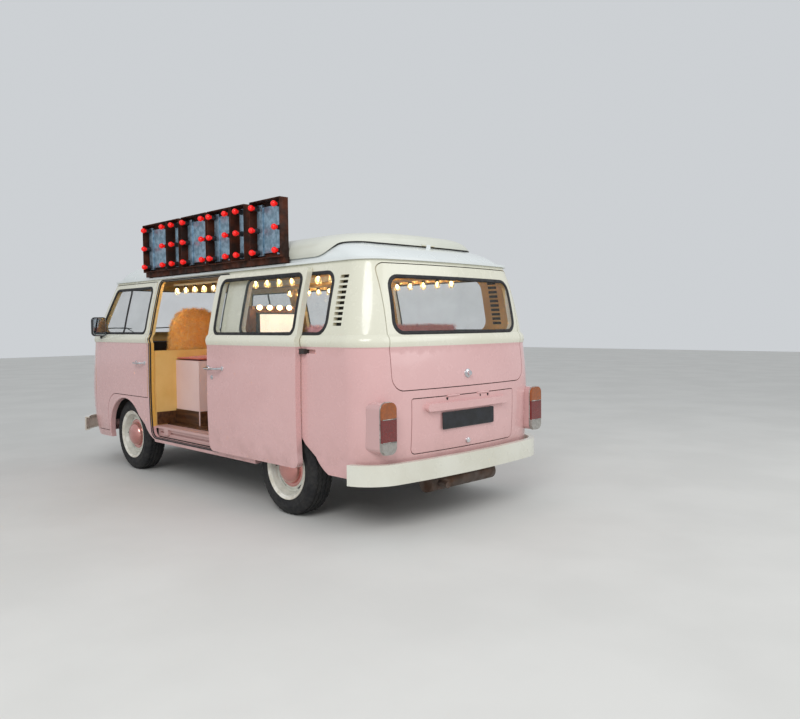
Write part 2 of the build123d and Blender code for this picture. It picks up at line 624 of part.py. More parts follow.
for side, way in SIDES.items():
    pin = rod((X_FRONT, way * KINGPIN_Y, BEAM_Z[0] - 24), (X_FRONT, way * KINGPIN_Y, BEAM_Z[1] + 24),
              KINGPIN_RADIUS)
    carrier = block((X_FRONT - 30, X_FRONT + 30), sorted((way * (KINGPIN_Y - 28), way * (KINGPIN_Y + 40))),
                    (BEAM_Z[0] + 22, BEAM_Z[1] - 22))
    spindle = drum(X_FRONT, TYRE_RADIUS, SPINDLE_RADIUS, way * KINGPIN_Y,
                   way * (TRACK_FRONT / 2 + DISC_FACE - 2))
    plate = drum(X_FRONT, TYRE_RADIUS, 118, way * (KINGPIN_Y + 38), way * (KINGPIN_Y + 62))
    save(pin + carrier + spindle + plate, f"knuckle_{side}")

# Rear axle: gearbox casing, half shafts, hubs and trailing arms
GEARBOX_Z = 328.0
GEARBOX_RADIUS = 94.0
GEARBOX_BACK = 250.0
HUB_Y = 600.0
rear_axle = rod((X_REAR - GEARBOX_BACK, 0, GEARBOX_Z), (X_REAR + 120, 0, GEARBOX_Z), GEARBOX_RADIUS)
rear_axle = rear_axle + rod((X_REAR + 110, 0, GEARBOX_Z), (X_REAR + 420, 0, GEARBOX_Z), 66)
for way in SIDES.values():
    shaft = rod((X_REAR - 40, way * 60, GEARBOX_Z), (X_REAR, way * (HUB_Y + 8), TYRE_RADIUS), 16)
    boot = rod((X_REAR - 40, way * 88, GEARBOX_Z), (X_REAR - 32, way * 175, GEARBOX_Z), 48)
    cover = drum(X_REAR, TYRE_RADIUS, 128, way * (HUB_Y - 10), way * (HUB_Y + 55))
    stub = drum(X_REAR, TYRE_RADIUS, SPINDLE_RADIUS, way * HUB_Y,
                way * (TRACK_REAR / 2 + DISC_FACE - 2))
    arm = slab_y(rounded([(X_REAR - 50, 285, 20), (X_REAR - 50, 345, 20), (X_REAR + 520, 395, 20),
                          (X_REAR + 520, 350, 20)]), way * 500, way * 545)
    bridge = block((X_REAR - 45, X_REAR + 45), sorted((way * 505, way * HUB_Y)), (292, 340))
    pivot = drum(X_REAR + 492, 372, 30, way * 378, way * 545)
    rear_axle = rear_axle + shaft + boot + cover + stub + arm + bridge + pivot
save(rear_axle, "rear_axle")

# Engine as one plain block, and the silencer behind it
X_ENGINE = (-2075.0, X_REAR - GEARBOX_BACK - SEAT)
ENGINE_HALF = 340.0
Z_ENGINE = (330.0, 720.0)
engine = block(X_ENGINE, (-ENGINE_HALF, ENGINE_HALF), Z_ENGINE)
save(engine, "engine")
PIPE_Y = 250.0
SILENCER = (-2108.0, 262.0)
SILENCER_RADIUS = 56.0
silencer = drum(SILENCER[0], SILENCER[1], SILENCER_RADIUS, -330, 330)
for way in SIDES.values():
    silencer = silencer + rod((X_ENGINE[0] + 35, way * PIPE_Y, SILENCER[1]),
                              (X_ENGINE[0] + 35, way * PIPE_Y, Z_ENGINE[0] - SEAT), 24)
    silencer = silencer + drum(SILENCER[0] + 34, SILENCER[1], 24, way * (PIPE_Y - 30),
                               way * (PIPE_Y + 30))
TAIL_RADIUS = 22.0
tail_end = (-LENGTH / 2 + 15, PIPE_Y, SILENCER[1])
silencer = silencer + rod((SILENCER[0], PIPE_Y, SILENCER[1]), tail_end, TAIL_RADIUS)
save(silencer, "exhaust")

# Bumpers: pressed blades that wrap round the corners, on two irons each
BUMPER_SHEET = 12.0
IRON_START = 90.0
BUMPERS = {
    "front": ((300.0, 430.0), LENGTH / 2, 1880.0),
    "rear": ((322.0, 450.0), LENGTH / 2, 2000.0),
}
for name, (z_range, reach, wrap) in BUMPERS.items():
    way = 1 if name == "front" else -1
    row = LOWER[1]
    nose, tail = row[1], row[5]
    stand = reach - way * (nose if way > 0 else tail)
    low, high = z_range
    outer = Solid.extrude(Face(outline((low,) + row[1:], -stand)), Vector(0, 0, high - low))
    inner = Solid.extrude(Face(outline((low - 1,) + row[1:], -stand + BUMPER_SHEET)),
                          Vector(0, 0, high - low + 2))
    deep = Solid.extrude(Face(outline((low - 1,) + row[1:], -stand + 40)),
                         Vector(0, 0, high - low + 2))
    lips = outer - deep
    web_cut = block((-FAR, FAR), (-FAR, FAR), (low + 10, high - 10)) & inner
    blade = (lips - web_cut) & block(sorted((way * wrap, way * FAR)), (-FAR, FAR), (0, FAR))
    blade = blade & block((-FAR, FAR), (-930, 930), (0, FAR))
    for y_iron in (-420, 420):
        iron = block(sorted((way * (abs(nose if way > 0 else tail) - IRON_START), way * (reach - 8))),
                     (y_iron - 25, y_iron + 25), ((low + high) / 2 - 20, (low + high) / 2 + 20))
        iron = iron - form(LOWER, 0)
        blade = blade + (iron & outer)
    save(blade, f"{name}_bumper")

# Lamps: headlamps and turn lamps in the nose, three-colour lamps on the rear corners
LAMP_FACE = 2112.0
LAMP_LENS = 88.0
LAMP_BULGE = 24.0
LAMP_DEPTH = 72.0
lamps = []
for way in SIDES.values():
    profile = make_face([
        Line((0, 0), (0, LAMP_BULGE)),
        ThreePointArc((0, LAMP_BULGE), (LAMP_LENS * 0.55, LAMP_BULGE * 0.72), (LAMP_LENS, 0)),
        Line((LAMP_LENS, 0), (LAMP_RADIUS - SEAT, 0)),
        Line((LAMP_RADIUS - SEAT, 0), (LAMP_RADIUS - SEAT, -LAMP_DEPTH)),
        Line((LAMP_RADIUS - SEAT, -LAMP_DEPTH), (0, -LAMP_DEPTH)),
        Line((0, -LAMP_DEPTH), (0, 0)),
    ])
    lamp = revolve(profile, Axis.Y, 360)
    lamps.append(Pos(LAMP_FACE, way * LAMP_Y, LAMP_Z) * Rot(0, 0, -90) * lamp)
    shape = rounded([(way * INDICATOR_Y - INDICATOR[0] / 2, INDICATOR_Z - INDICATOR[1] / 2, 16),
                     (way * INDICATOR_Y + INDICATOR[0] / 2, INDICATOR_Z - INDICATOR[1] / 2, 16),
                     (way * INDICATOR_Y + INDICATOR[0] / 2, INDICATOR_Z + INDICATOR[1] / 2, 16),
                     (way * INDICATOR_Y - INDICATOR[0] / 2, INDICATOR_Z + INDICATOR[1] / 2, 16)])
    lamps.append(ring(LOWER, -16, 0) & slab_x(shape, NOSE_BACK, FAR))
save(lamps, "front_lamps")

TAIL_LAMP_Y = (686.0, 806.0)
TAIL_LAMP_Z = (515.0, 830.0)
TAIL_LAMP_FACE = -2216.0
tail_lamps = []
for way in SIDES.values():
    shape = rounded([(way * y, z, 46) for y, z in (
        (TAIL_LAMP_Y[0], TAIL_LAMP_Z[0]), (TAIL_LAMP_Y[1], TAIL_LAMP_Z[0]),
        (TAIL_LAMP_Y[1], TAIL_LAMP_Z[1]), (TAIL_LAMP_Y[0], TAIL_LAMP_Z[1]))])
    tail_lamps.append(slab_x(shape, TAIL_LAMP_FACE, -2050) - form(LOWER))
save(tail_lamps, "tail_lamps")

# Door mirrors on short arms
MIRROR_X = 1500.0
MIRROR_Y = 912.0
MIRROR_Z = 1302.0
MIRROR = (132.0, 176.0)
for side, way in SIDES.items():
    low, high = MIRROR_Z - MIRROR[1] / 2, MIRROR_Z + MIRROR[1] / 2
    near, far = way * (MIRROR_Y - MIRROR[0] / 2), way * (MIRROR_Y + MIRROR[0] / 2)
    head = slab_x(rounded([(near, low, 34), (far, low, 34), (far, high, 34), (near, high, 34)]),
                  MIRROR_X, MIRROR_X + 34)
    arm = rod((MIRROR_X + 24, way * (MIRROR_Y - 20), low + 12), (1600, way * 846, 1206), 8)
    foot = rod((1600, way * 844, 1206), (1600, way * 862, 1206), 18)
    mirror_set = (head + arm + foot) - form(BELT) - form(UPPER)
    save(mirror_set, f"mirror_{side}")

# Sign on the left edge of the roof: a bar on feet in the gutter, six open trays, and bulbs
SIGN_BAR = ((-1205.0, 845.0), (718.0, 762.0), (1728.0, 1768.0))
SIGN_TOP = 2175.0
SIGN_DEPTH = (718.0, 790.0)
SIGN_SHEET = 6.0
TRAYS = [(417, 836), (202, 404), (-224, 161), (-566, -248), (-759, -577), (-1199, -831)]
BULB_RADIUS = 21.0
BULB_MARGIN = 46.0
NARROW_TRAY = 260.0
sign = block(*SIGN_BAR)
bulbs = []
for x_low, x_high in TRAYS:
    tray = block((x_low, x_high), SIGN_DEPTH, (SIGN_BAR[2][1], SIGN_TOP))
    tray = tray - block((x_low + SIGN_SHEET, x_high - SIGN_SHEET), (SIGN_DEPTH[0] + SIGN_SHEET, FAR),
                        (SIGN_BAR[2][1] + SIGN_SHEET, SIGN_TOP - SIGN_SHEET))
    sign = sign + tray
    columns = [x_high - BULB_MARGIN, x_low + BULB_MARGIN]
    if x_high - x_low < NARROW_TRAY:
        columns = [(x_low + x_high) / 2]
    for x_bulb in columns:
        for z_bulb in (SIGN_BAR[2][1] + BULB_MARGIN, (SIGN_BAR[2][1] + SIGN_TOP) / 2,
                       SIGN_TOP - BULB_MARGIN):
            y_back = SIGN_DEPTH[0] + SIGN_SHEET
            holder = drum(x_bulb, z_bulb, 12, y_back, SIGN_DEPTH[1] + 6)
            globe = Pos(x_bulb, SIGN_DEPTH[1] + 16, z_bulb) * Sphere(BULB_RADIUS)
            bulbs.append(holder + globe)
FOOT = 40.0
SIGN_FEET = 6
step = (SIGN_BAR[0][1] - SIGN_BAR[0][0] - FOOT) / (SIGN_FEET - 1)
for index in range(SIGN_FEET):
    x_foot = SIGN_BAR[0][0] + index * step
    sign = sign + block((x_foot, x_foot + FOOT), (SIGN_BAR[1][0], SIGN_BAR[1][0] + 14),
                        (Z_GUTTER + GUTTER_SHEET, SIGN_BAR[2][0]))
save(sign, "sign_frame")
save(bulbs, "sign_bulbs")

# Cab: dashboard, steering column and wheel, seats on their boxes
DRIVER_Y = -385.0
DASH = ((1690.0, FAR), (-700.0, 700.0), (1015.0, 1149.0))
dashboard = INNER_LOWER & block(*DASH)
WHEEL_CENTRE = (1400.0, DRIVER_Y, 1160.0)
COLUMN_TILT = 30.0
ALONG = Vector(sin(radians(COLUMN_TILT)), 0, -cos(radians(COLUMN_TILT)))
COLUMN_TOP = Vector(WHEEL_CENTRE) + ALONG * 30
to_floor = (COLUMN_TOP.Z - Z_FLOOR) / -ALONG.Z
column = rod(COLUMN_TOP, COLUMN_TOP + ALONG * (to_floor + 60), 26)
column = column - block((0, FAR), (-FAR, FAR), (0, Z_FLOOR))
hanger = block((COLUMN_TOP.X, DASH[0][0] + 20), (DRIVER_Y - 30, DRIVER_Y + 30), (1040, 1066))
save(dashboard + column + hanger, "dashboard")
STEERING_RADIUS = 195.0
plane = Plane(Vector(WHEEL_CENTRE), x_dir=(0, 1, 0), z_dir=-ALONG)
rim = plane * Torus(STEERING_RADIUS, 13)
spokes = plane * Box(2 * STEERING_RADIUS, 44, 12)
boss = plane * Cylinder(58, 40)
boss = boss + plane * (Pos(0, 0, -25 + SEAT / 2) * Cylinder(24, 10 - SEAT))
save(rim + spokes + boss, "steering_wheel")

SEAT_BOX = ((760.0, 1215.0), (150.0, 590.0), (Z_FLOOR, 735.0))
CUSHION_TOP = 880.0
seat_boxes = []
seat_cushions = []
for way in SIDES.values():
    box = block(SEAT_BOX[0], sorted((way * SEAT_BOX[1][0], way * SEAT_BOX[1][1])), SEAT_BOX[2])
    box = box - drum(X_FRONT, TYRE_RADIUS, TYRE_RADIUS + HOUSE_GAP + HOUSE_SHEET + SEAT,
                     way * (HOUSE_INNER["front"] - SEAT), way * 900)
    seat_boxes.append(box)
    seat = slab_y(rounded([(790, SEAT_BOX[2][1] + SEAT, 20), (1290, SEAT_BOX[2][1] + SEAT, 40),
                           (1300, CUSHION_TOP, 50), (870, CUSHION_TOP - 20, 10),
                           (770, 1440, 50), (655, 1420, 50), (735, 860, 20)]),
                  way * 130, way * 610)
    seat_cushions.append(seat)
save([partition] + seat_boxes, "seat_boxes")
save(seat_cushions, "front_seats")

# Cabin furniture: box seat, photo cabinet, rear bench, cushions on the deck
BOARD = 18.0
BOX_SEAT = ((262.0, PARTITION_X - SEAT), (110.0, 600.0), (Z_FLOOR, 1003.0))
Z_PLINTH = 575.0
box_seat = block(*BOX_SEAT)
box_seat = box_seat - block((BOX_SEAT[0][0] + BOARD, BOX_SEAT[0][1] - BOARD),
                            (BOX_SEAT[1][0] + BOARD, BOX_SEAT[1][1] - BOARD),
                            (0, BOX_SEAT[2][1] - BOARD))
save(box_seat, "box_seat")
CABINET = ((510.0, PARTITION_X - SEAT), (-650.0, -80.0), (Z_FLOOR, 1480.0))
save(block(*CABINET), "cabinet")
X_BENCH = (X_FIREWALL + FLOOR_SHEET, -930.0)
Z_BENCH = 760.0
BENCH_HALF = HOUSE_INNER["rear"] - 2
bench = block(X_BENCH, (-BENCH_HALF, BENCH_HALF), (Z_FLOOR, Z_BENCH))
bench = bench - block((X_BENCH[0] + BOARD, X_BENCH[1] - BOARD), (-BENCH_HALF + BOARD, BENCH_HALF - BOARD),
                      (0, Z_BENCH - BOARD))
shelf = block(X_BENCH, (-780, 780), (Z_BENCH - BOARD, Z_BENCH))
save(bench + shelf, "rear_bench")
cushions = [
    block((BOX_SEAT[0][0], BOX_SEAT[0][1] - 4), BOX_SEAT[1], (BOX_SEAT[2][1] + SEAT, 1040)),
    block((X_BENCH[0] + 135, X_BENCH[1] + 30), (-770, 770), (Z_BENCH + SEAT, 890)),
    slab_y(rounded([(X_BENCH[0] + 8, Z_BENCH + SEAT, 10), (X_BENCH[0] + 134, Z_BENCH + SEAT, 20),
                    (X_BENCH[0] + 96, 1290, 45), (X_BENCH[0] - 30, 1290, 45),
                    (X_BENCH[0] + 1, Z_DECK + 20, 5)]), -740, 740),
    block((-2080, X_FIREWALL - 60), (-620, 620), (Z_DECK + SEAT, 1010)),
]
save(cushions, "cushions")
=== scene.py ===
"""Dresses the camper van: paint, rubber, glass, lamps, furniture, cushions, sign and lights.

Metres, X forward, Y to the van's left, Z up. Every piece rides on a body of the frame.
"""
from itertools import product
from math import atan2, cos, pi, radians, sin

import bmesh
import bpy
import numpy as np
from mathutils import Matrix, Vector
from mathutils.bvhtree import BVHTree


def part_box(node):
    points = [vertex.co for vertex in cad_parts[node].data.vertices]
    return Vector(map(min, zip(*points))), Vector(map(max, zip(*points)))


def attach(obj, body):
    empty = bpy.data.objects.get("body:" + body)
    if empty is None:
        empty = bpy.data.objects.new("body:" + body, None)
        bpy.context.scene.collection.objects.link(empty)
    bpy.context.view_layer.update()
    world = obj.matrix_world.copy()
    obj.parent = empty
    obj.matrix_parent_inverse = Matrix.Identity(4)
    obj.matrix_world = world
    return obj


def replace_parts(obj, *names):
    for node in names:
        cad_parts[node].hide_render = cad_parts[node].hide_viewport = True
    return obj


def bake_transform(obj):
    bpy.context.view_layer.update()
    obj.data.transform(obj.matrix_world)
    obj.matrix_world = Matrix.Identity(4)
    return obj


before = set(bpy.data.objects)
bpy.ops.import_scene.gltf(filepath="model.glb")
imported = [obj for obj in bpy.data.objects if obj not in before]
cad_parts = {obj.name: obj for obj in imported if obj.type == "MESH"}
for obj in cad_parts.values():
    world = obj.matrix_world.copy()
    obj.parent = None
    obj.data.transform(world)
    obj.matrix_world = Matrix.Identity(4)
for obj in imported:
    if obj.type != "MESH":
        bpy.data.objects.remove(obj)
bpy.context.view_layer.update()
SIDES = {"left": 1, "right": -1}

# Camera. It stands behind the van's left rear corner at chest height and looks a little down.
# Its place and turns come from the photograph's own lines.
CAMERA_PLACE = (-5.449, 3.828, 1.294)
CAMERA_YAW = -44.47
CAMERA_PITCH = -2.65
CAMERA_ROLL = -0.56
CAMERA_LENS = 33.88

yaw, pitch, roll = (radians(angle) for angle in (CAMERA_YAW, CAMERA_PITCH, CAMERA_ROLL))
ahead = Vector((cos(pitch) * cos(yaw), cos(pitch) * sin(yaw), sin(pitch)))
right = ahead.cross((0, 0, 1)).normalized()
up = right.cross(ahead)
right, up = right * cos(roll) + up * sin(roll), up * cos(roll) - right * sin(roll)
camera = bpy.data.objects.new("camera", bpy.data.cameras.new("camera"))
bpy.context.scene.collection.objects.link(camera)
turn = Matrix((right, up, -ahead)).transposed().to_4x4()
turn.translation = CAMERA_PLACE
camera.matrix_world = turn
camera.data.lens = CAMERA_LENS
camera.data.sensor_width = 36.0
bpy.context.scene.camera = camera

# Body panels. Pressed steel sheet welded into one shell, with doors and lids of the same sheet on hinges,
# sprayed in gloss enamel: pink below a line at the waist and cream above. The cabin side has yellow boards.
PAINT_LINE_Z = 1.157
CABIN_CENTRE = (0.0, 0.0, 1.0)
CABIN_MIDDLE_X = -0.10
CABIN_HALF = 0.78
LINED_OVER_ARCHES_Z = 0.70
LINED_OVER_FLOOR_Z = 0.44
LINED_FROM_X = -2.05
GRIME_Z = (0.62, 0.3)
COLOUR_MIX = {"out": 2, "data_type": "RGBA"}


def linear(code):
    """Linear colour of an sRGB hex code: c / 12.92 below 0.04045, else ((c + 0.055) / 1.055) ^ 2.4."""
    values = [int(code[i:i + 2], 16) / 255 for i in (0, 2, 4)]
    return tuple(c / 12.92 if c <= 0.04045 else ((c + 0.055) / 1.055) ** 2.4 for c in values) + (1.0,)


def fill(tree, target, inputs):
    """Sets the inputs of a node: another node's output is linked, and anything else is the value."""
    for key, value in inputs.items():
        if isinstance(value, bpy.types.NodeSocket):
            tree.links.new(value, target.inputs[key])
        else:
            target.inputs[key].default_value = value


def node(tree, kind, inputs, out=0, **settings):
    """Adds a node with its settings and inputs, and gives one of its outputs."""
    new = tree.nodes.new(kind)
    for key, value in settings.items():
        setattr(new, key, value)
    fill(tree, new, inputs)
    return new.outputs[out]


def blank(name):
    """New material; gives it, its tree, its shader and the Object coordinates."""
    material = bpy.data.materials.new(name)
    material.use_nodes = True
    tree = material.node_tree
    return material, tree, tree.nodes["Principled BSDF"], node(tree, "ShaderNodeTexCoord", {}, "Object")


def noise(tree, place, mm, detail=4.0, low=0.4, high=0.6, stretch=(1, 1, 1)):
    """Noise in cells of a size in millimetres, spread to 0 to 1 from its low to its high value."""
    shape = node(tree, "ShaderNodeMapping", {"Vector": place, "Scale": stretch})
    grain = node(tree, "ShaderNodeTexNoise", {"Vector": shape, "Scale": 1000 / mm, "Detail": detail}, "Fac")
    return node(tree, "ShaderNodeMapRange", {"Value": grain, "From Min": low, "From Max": high})


def body_paint():
    """Gloss enamel in two colours, faded in clouds of 625 mm, with road dirt low down.

    The lining shows where the normal points to the cabin's middle: (p - centre) . n < -0.02. Gloss varies
    in patches of 71 mm, and a 1.1 mm orange peel breaks the reflections up.
    """
    material, tree, shader, place = blank("body_paint")
    x = node(tree, "ShaderNodeSeparateXYZ", {"Vector": place}, "X")
    z = node(tree, "ShaderNodeSeparateXYZ", {"Vector": place}, "Z")
    above = node(tree, "ShaderNodeMath", {0: z, 1: PAINT_LINE_Z}, operation="GREATER_THAN")
    fade = noise(tree, place, 625, 3.0)
    pink = node(tree, "ShaderNodeMix", {0: fade, 6: linear("DDB2B0"), 7: linear("D9ADAB")}, **COLOUR_MIX)
    cream = node(tree, "ShaderNodeMix", {0: fade, 6: linear("E3E1D0"), 7: linear("DEDCC9")}, **COLOUR_MIX)
    outside = node(tree, "ShaderNodeMix", {0: above, 6: pink, 7: cream}, **COLOUR_MIX)
    low = node(tree, "ShaderNodeMapRange", {"Value": z, "From Min": GRIME_Z[0], "From Max": GRIME_Z[1]})
    spatter = noise(tree, place, 111, 6.0, 0.42, 0.72)
    grime = node(tree, "ShaderNodeMath", {0: low, 1: spatter}, operation="MULTIPLY")
    grime = node(tree, "ShaderNodeMapRange", {"Value": grime, "To Max": 0.35})
    outside = node(tree, "ShaderNodeMix", {0: grime, 6: outside, 7: linear("8E6A60")}, **COLOUR_MIX)
    away = node(tree, "ShaderNodeVectorMath", {0: place, 1: CABIN_CENTRE}, operation="SUBTRACT")
    normal = node(tree, "ShaderNodeTexCoord", {}, "Normal")
    facing = node(tree, "ShaderNodeVectorMath", {0: away, 1: normal}, "Value", operation="DOT_PRODUCT")
    lined = node(tree, "ShaderNodeMath", {0: x, 1: CABIN_MIDDLE_X, 2: CABIN_HALF}, operation="COMPARE")
    over_arches = node(tree, "ShaderNodeMath", {0: z, 1: LINED_OVER_ARCHES_Z}, operation="GREATER_THAN")
    lined = node(tree, "ShaderNodeMath", {0: lined, 1: over_arches}, operation="MAXIMUM")
    for value, limit, side in ((z, LINED_OVER_FLOOR_Z, "GREATER_THAN"), (x, LINED_FROM_X, "GREATER_THAN"),
                               (facing, -0.02, "LESS_THAN")):
        within = node(tree, "ShaderNodeMath", {0: value, 1: limit}, operation=side)
        lined = node(tree, "ShaderNodeMath", {0: lined, 1: within}, operation="MULTIPLY")
    lining = node(tree, "ShaderNodeMix", {0: above, 6: linear("E6B45C"), 7: linear("E4C684")}, **COLOUR_MIX)
    gloss = noise(tree, place, 71.4)
    peel = noise(tree, place, 1.11, 1.0, 0.2, 0.8)
    fill(tree, shader, {
        "Base Color": node(tree, "ShaderNodeMix", {0: lined, 6: outside, 7: lining}, **COLOUR_MIX),
        "Roughness": node(tree, "ShaderNodeMapRange", {"Value": gloss, "To Min": 0.16, "To Max": 0.30}),
        "Coat Weight": 0.5, "Coat Roughness": 0.08,
        "Normal": node(tree, "ShaderNodeBump", {"Height": peel, "Strength": 0.012, "Distance": 0.0006})})
    return material


def sharpen(obj, angle=35):
    """Keeps edges sharper than an angle crisp on a smooth shaded piece."""
    obj.modifiers.new("edges", "EDGE_SPLIT").split_angle = radians(angle)
    return obj


def dress(material, *names):
    """Gives CAD nodes a material, joins their corners, and shades them smooth up to sharp edges."""
    for name in names:
        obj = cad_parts[name]
        obj.data.materials.clear()
        obj.data.materials.append(material)
        obj.data.polygons.foreach_set("use_smooth", [True] * len(obj.data.polygons))
        obj.modifiers.new("weld", "WELD").merge_threshold = 0.00002
        sharpen(obj, 28)


PAINT = body_paint()
dress(PAINT, "front_panel", "side_panel_left", "side_panel_right", "rear_panel", "sliding_door",
      "door_left", "door_right", "tailgate", "engine_lid")

# Roof and lifting lid. The roof is pressed steel in cool white enamel, the lid a moulded shell of glass
# fibre with a duller gel coat. Both are lined where they face down over the cabin.
LINED_HALF = 0.66
ROOF_LINED_FROM_X = -1.95


def surface(name, colour, dark, rough, patch, grain, strength, metallic=0.0, coat=0.0, sheen=0.0,
            stretch=(1, 1, 1)):
    """General finish: two tones in patches, roughness in patches a third as large, and a raised grain.

    The sizes of patch and grain are in millimetres.
    """
    material, tree, shader, place = blank(name)
    tones = noise(tree, place, patch, stretch=stretch)
    raised = noise(tree, place, grain, 2.0, 0.3, 0.7, stretch)
    wear = noise(tree, place, patch / 3)
    fill(tree, shader, {
        "Base Color": node(tree, "ShaderNodeMix", {0: tones, 6: linear(colour), 7: linear(dark)},
                           **COLOUR_MIX),
        "Roughness": node(tree, "ShaderNodeMapRange",
                          {"Value": wear, "To Min": rough[0], "To Max": rough[1]}),
        "Normal": node(tree, "ShaderNodeBump", {"Height": raised, "Strength": strength, "Distance": 0.001}),
        "Metallic": metallic, "Coat Weight": coat, "Sheen Weight": sheen})
    return material


def lined_shell(name, colour, dark, rough, lining, faces_down):
    """Gloss coat on a roof shell, and lining where its normal's Z is less than a limit, over the cabin."""
    material = surface(name, colour, dark, rough, 625, 1.43, 0.008, coat=0.35)
    tree = material.node_tree
    shader = tree.nodes["Principled BSDF"]
    place = node(tree, "ShaderNodeTexCoord", {}, "Object")
    normal = node(tree, "ShaderNodeTexCoord", {}, "Normal")
    x = node(tree, "ShaderNodeSeparateXYZ", {"Vector": place}, "X")
    y = node(tree, "ShaderNodeSeparateXYZ", {"Vector": place}, "Y")
    upward = node(tree, "ShaderNodeSeparateXYZ", {"Vector": normal}, "Z")
    under = node(tree, "ShaderNodeMath", {0: upward, 1: faces_down}, operation="LESS_THAN")
    between = node(tree, "ShaderNodeMath", {0: y, 1: 0.0, 2: LINED_HALF}, operation="COMPARE")
    before = node(tree, "ShaderNodeMath", {0: x, 1: ROOF_LINED_FROM_X}, operation="GREATER_THAN")
    for mask in (between, before):
        under = node(tree, "ShaderNodeMath", {0: under, 1: mask}, operation="MULTIPLY")
    coat = shader.inputs["Base Color"].links[0].from_socket
    both = node(tree, "ShaderNodeMix", {0: under, 6: coat, 7: linear(lining)}, **COLOUR_MIX)
    fill(tree, shader, {"Base Color": both})
    return material


dress(lined_shell("roof_paint", "E4E9E8", "DEE3E2", (0.2, 0.32), "E2C083", -0.25), "roof")
dress(lined_shell("lid_paint", "D9DACE", "D0D1C4", (0.3, 0.42), "E6D8B4", -0.3), "pop_top")


# Window glass. Flat and bowed panes of tempered float glass in rubber channels. They are mostly clear, with
# a green grey tint and a film of dust in patches of 200 mm, which makes parts of a pane a little duller.
def glazing(name, colour, alpha):
    """Thin glass of a tint and an opacity, both a little stronger under the dust."""
    material, tree, shader, place = blank(name)
    dust = noise(tree, place, 200, 5.0, 0.35, 0.75)
    fill(tree, shader, {
        "Base Color": linear(colour), "IOR": 1.45,
        "Roughness": node(tree, "ShaderNodeMapRange", {"Value": dust, "To Min": 0.03, "To Max": 0.09}),
        "Alpha": node(tree, "ShaderNodeMapRange", {"Value": dust, "To Min": alpha, "To Max": alpha + 0.05})})
    material.surface_render_method = "BLENDED"
    return material


dress(glazing("window_glass", "7F8C88", 0.07), "windscreen", "side_windows", "sliding_door_glass",
      "tailgate_glass", "door_glass_left", "door_glass_right")

# Underside. The floor pan and wheel houses are sheet steel under black underseal, with pink enamel where
# the step shows in the doorway. Axles, knuckles and engine are cast, and the exhaust is steel gone brown.
STEP_FROM_Y = 0.692
STEP_FROM_Z = 0.355


def sill_paint():
    """Black underseal browned by road dirt, and pink enamel on the step and sill of the left side."""
    material, tree, shader, place = blank("sill_paint")
    y = node(tree, "ShaderNodeSeparateXYZ", {"Vector": place}, "Y")
    z = node(tree, "ShaderNodeSeparateXYZ", {"Vector": place}, "Z")
    wide = node(tree, "ShaderNodeMath", {0: y, 1: STEP_FROM_Y}, operation="GREATER_THAN")
    high = node(tree, "ShaderNodeMath", {0: z, 1: STEP_FROM_Z}, operation="GREATER_THAN")
    step = node(tree, "ShaderNodeMath", {0: wide, 1: high}, operation="MULTIPLY")
    dirt = noise(tree, place, 167, 5.0)
    seal = node(tree, "ShaderNodeMix", {0: dirt, 6: linear("1F2022"), 7: linear("3A332C")}, **COLOUR_MIX)
    grit = noise(tree, place, 8.33)
    fill(tree, shader, {
        "Base Color": node(tree, "ShaderNodeMix", {0: step, 6: seal, 7: linear("CFA9A4")}, **COLOUR_MIX),
        "Roughness": node(tree, "ShaderNodeMapRange", {"Value": step, "To Min": 0.7, "To Max": 0.35}),
        "Normal": node(tree, "ShaderNodeBump", {"Height": grit, "Strength": 0.15, "Distance": 0.001})})
    return material


# Underseal is dull and lumpy, cast iron grey and rough with rust in its hollows, and a hot exhaust scales.
UNDERSEAL = surface("underside_steel", "1F2022", "3A332C", (0.5, 0.8), 250, 11.1, 0.2)
CAST_IRON = surface("cast_metal", "4B4A4A", "5B4A3C", (0.55, 0.8), 200, 7.14, 0.5, metallic=0.7)
SCALED_STEEL = surface("exhaust_steel", "6A5F58", "5A3E2C", (0.45, 0.75), 167, 8.33, 0.3, metallic=0.8)
DARK_TRIM = surface("dark_trim", "26231F", "38322B", (0.6, 0.8), 167, 2.38, 0.25)
dress(sill_paint(), "underbody")
dress(UNDERSEAL, "wheel_houses")
dress(DARK_TRIM, "engine_bay")
dress(CAST_IRON, "front_axle", "rear_axle", "knuckle_left", "knuckle_right", "engine")
dress(SCALED_STEEL, "exhaust")

# Bumpers. Blades of pressed steel that wrap round the corners, bolted to irons and sprayed in cream
# enamel. It has aged a little unevenly, in clouds of 400 mm, and keeps its gloss.
CREAM_ENAMEL = surface("cream_paint", "DEDDD0", "D6D4C5", (0.2, 0.35), 400, 1.43, 0.01, coat=0.4)
dress(CREAM_ENAMEL, "front_bumper", "rear_bumper")

# Window rubbers. Each pane sits in a black rubber section that lips over the edge of the opening, 26 mm
# wide and 6 mm proud. They go round the outlines of the panes, laid on the body's outer skin.
FAR = 3.0


def arrays(mesh, corners):
    """Points of a mesh, and its faces as rows of that many corners."""
    points = np.empty(len(mesh.vertices) * 3, np.float32)
    mesh.vertices.foreach_get("co", points)
    faces = np.empty(len(mesh.loops), np.int32)
    mesh.loops.foreach_get("vertex_index", faces)
    return points.reshape(-1, 3).astype(float), faces.reshape(-1, corners)


def tree_of(*names):
    """Search tree over the triangles of some CAD nodes."""
    points, faces, count = [], [], 0
    for name in names:
        more_points, more_faces = arrays(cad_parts[name].data, 3)
        points.append(more_points)
        faces.append(more_faces + count)
        count += len(more_points)
    return BVHTree.FromPolygons(np.concatenate(points).tolist(), np.concatenate(faces).tolist())


SKIN = tree_of("front_panel", "side_panel_left", "side_panel_right", "rear_panel", "roof", "tailgate",
               "engine_lid", "door_left", "door_right", "windscreen", "side_windows", "tailgate_glass",
               "door_glass_left", "door_glass_right")
SLIDER = tree_of("sliding_door", "sliding_door_glass")


